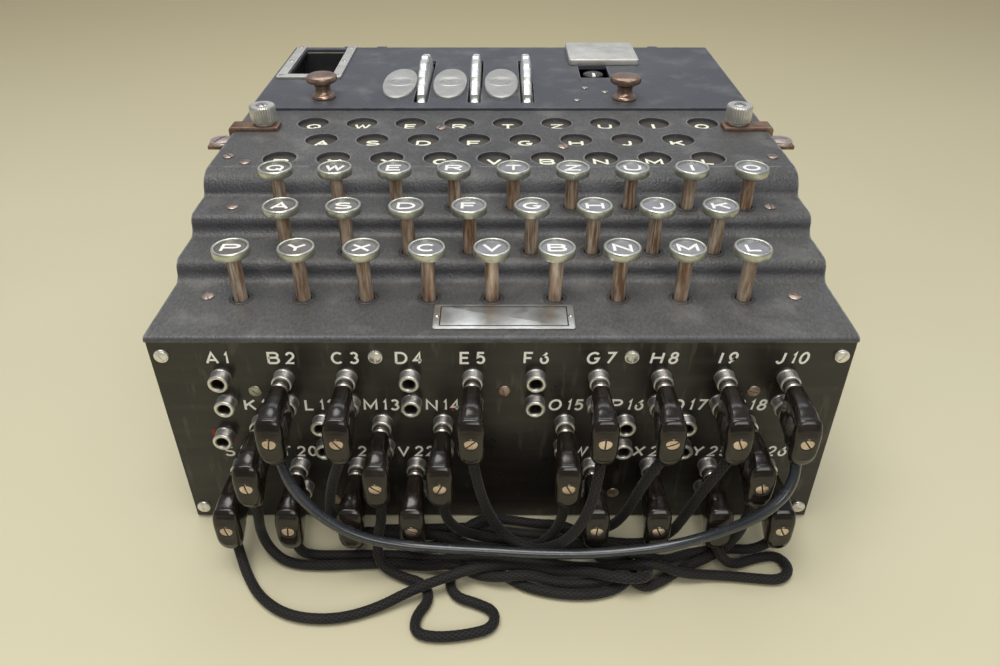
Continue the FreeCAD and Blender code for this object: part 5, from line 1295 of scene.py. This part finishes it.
for side, (x, y) in {"left": (-93.7, 44.0), "right": (65.0, 42.0)}.items():
    b = Build()
    prof = [(0, 109.6), (2.6, 109.6), (3.0, 110.0), (3.0, 118.15), (6.0, 118.15), (6.2, 118.4), (6.1, 119.2), (5.4, 119.9), (4.5, 120.4), (4.05, 121.4),
            (3.9, 123.0), (4.2, 124.4), (5.2, 125.5), (6.9, 126.2), (7.7, 126.7), (8.0, 127.3), (8.0, 128.4), (7.6, 129.3), (6.6, 129.9), (4.8, 130.2), (2.4, 130.28), (0, 130.3)]
    b.add(lathe(prof, 96, lambda a, r, z: r - (0.16 * (0.5 + 0.5 * math.cos(48 * a)) if 7.65 < r and z > 126 else 0.0)), 0, at(x, y, 0))
    b.add(rbox((x - 14.0, y - 3.0, 109.6), (x + 3.0, y + 3.0, 111.4), 0.4), 1)
    b.make("latch_" + side + "_knob", [copper, steel], "latch_" + side, "copper_knob", ["lid_latch_" + side])

b = Build()
b.add(lathe([(0, 84), (2.7, 84), (3.0, 84.4), (3.0, 103.5), (6.2, 103.5), (6.6, 103.9), (6.6, 105.5), (6.3, 110.0), (6.0, 115.4), (5.7, 116.6), (5.1, 117.1), (3.4, 117.2), (0, 117.2)],
            72, lambda a, r, z: r - (0.22 * (0.5 + 0.5 * math.cos(24 * a)) if r > 5.65 and 104 < z < 116.5 else 0.0)), 0, at(53.2, 89, 0))
b.add(rbox((52.25, 83.4, 110), (54.15, 89, 117.35), 0.35), 1)
b.make("switch_grip", [knob_resin, panel_ink], "power_switch", "panel_black", ["switch_knob"])

# ---------------------------------------------------------------- hold-down clamps
b = Build()
for sign, (tx, ty) in zip((-1, 1), ((-114.6, 1.6), (114.6, 1.6))):
    strap = [(107.5, 116.8), (129.2, 116.8), (129.2, 107.6), (143.0, 107.6), (143.0, 109.6), (131.2, 109.6), (131.2, 118.8), (107.5, 118.8)]
    strap = rounded(strap, [0.3, 0.3, 0.9, 0.5, 0.5, 0.3, 1.6, 0.3], 4)
    b.add(plate([(sign * a, c) for a, c in strap], (ty - 5.2, ty + 3.8), 0.3, 2, lambda a, c, d: Vector((a, d, c))), 0)
    b.add(slotted(5.75, 1.5, 0.9, 0.5, 0.8, 40), 1, at(sign * 137.0, ty - 0.7, 109.55, 0.5 + sign))
    b.add(lathe([(0, 102.0), (1.9, 102.0), (1.9, 109.7), (0, 109.7)], 20), 1, at(sign * 137.0, ty - 0.7, 0))
b.make("clamp_bars", [rust, pink_disc], "root", "rusty_steel", ["clamp_straps"])
for side, (tx, ty) in {"left": (-114.6, 1.6), "right": (114.6, 1.6)}.items():
    z = 118.9
    b = Build()
    prof = [(0, -9.5), (2.1, -9.5), (2.5, -9.1), (2.5, 0.0), (4.4, 0.0), (4.6, 0.2), (4.6, 1.1), (5.4, 1.3), (6.1, 1.7), (6.2, 2.1), (6.2, 8.4), (6.05, 8.9), (5.6, 9.3), (4.6, 9.5), (3.2, 9.35), (0, 9.2)]
    b.add(lathe([(r, z + h) for r, h in prof], 128, lambda a, r, h: r - (0.26 * (0.5 + 0.5 * math.cos(32 * a)) if r > 5.9 and h > z + 1.5 else 0.0)), 0, at(tx, ty, 0))
    b.add(slotted(2.9, 0.45, 0.3, 0.35, 0.4, 30), 1, at(tx, ty, z + 9.15, 0.6))
    b.make("thumb_" + side + "_knob", [nickel_bright, nickel], "thumb_" + side, "nickel", ["clamp_knob_" + side], 30)

# ---------------------------------------------------------------- finishes of the parts that keep their CAD shape
FINISH = {
    "chassis_tray": frame_paint, "key_cover": cover_paint, "lamp_cover": cover_paint, "rotor_lid": lid_paint, "letter_film": film,
    "lamp_board": board, "plug_panel": panel_black, "key_contact_bank": insulator, "rotor_carrier": steel, "battery_box": tin,
}
for name, ob in frame["nodes"].items():
    if name in FINISH:
        if not ob.material_slots:
            ob.data.materials.append(FINISH[name])
        for s in ob.material_slots:
            s.material = FINISH[name]

# ---------------------------------------------------------------- floor and light
bm = bmesh.new()
side = 24
grid = [[bm.verts.new((-3.0 + 6.0 * i / side, -1.6 + 5.6 * j / side, -0.0002)) for i in range(side + 1)] for j in range(side + 1)]
for j in range(side):
    for i in range(side):
        bm.faces.new((grid[j][i], grid[j][i + 1], grid[j + 1][i + 1], grid[j + 1][i]))
me = bpy.data.meshes.new("floor")
bm.to_mesh(me)
bm.free()
me.materials.append(make_floor())
floor = bpy.data.objects.new("floor", me)
scene.collection.objects.link(floor)
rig.stage(floor)


def area(name, place, aim, size, power, tone, spread=None):
    data = bpy.data.lights.new(name, "AREA")
    data.shape = "RECTANGLE"
    data.size, data.size_y = size
    data.energy = power
    data.color = tone
    if spread:
        data.spread = math.radians(spread)
    ob = bpy.data.objects.new(name, data)
    scene.collection.objects.link(ob)
    ob.location = place
    ob.rotation_euler = (Vector(aim) - Vector(place)).to_track_quat("-Z", "Y").to_euler()
    return ob


area("key_light", (-0.15, -0.30, 1.30), (0, -0.04, 0.05), (0.9, 0.7), 12.2, (1.0, 0.975, 0.93))
area("back_light", (0.05, 0.75, 1.35), (0, 0.02, 0.08), (1.4, 0.5), 4.6, (0.88, 0.93, 1.0))
area("front_light", (0.30, -1.2, 0.9), (0, -0.12, 0.05), (0.9, 0.5), 5.2, (1.0, 0.97, 0.92))
world = bpy.data.worlds.new("studio")
world.use_nodes = True
wt = world.node_tree
bg = wt.nodes["Background"]
wc = wt.nodes.new("ShaderNodeTexCoord")
ws = wt.nodes.new("ShaderNodeSeparateXYZ")
wt.links.new(wc.outputs["Generated"], ws.inputs[0])
wr = wt.nodes.new("ShaderNodeMapRange")
wr.inputs["From Min"].default_value = -0.9
wr.inputs["From Max"].default_value = 0.9
wt.links.new(ws.outputs[1], wr.inputs["Value"])
wm = wt.nodes.new("ShaderNodeMix")
wm.data_type = "RGBA"
wt.links.new(wr.outputs[0], wm.inputs[0])
wm.inputs[6].default_value = (0.30, 0.30, 0.29, 1)
wm.inputs[7].default_value = (0.80, 0.83, 0.90, 1)
wt.links.new(wm.outputs[2], bg.inputs[0])
bg.inputs[1].default_value = 0.52
scene.world = world
scene.view_settings.view_transform = "Standard"
scene.view_settings.look = "None"
scene.view_settings.exposure = 0.0

with open("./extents.json", "w") as out:
    json.dump({"cad": [[float(c) for c in p] for p in CAD_BOX], "visual": [[float(c) for c in p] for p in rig.bounds()]}, out)
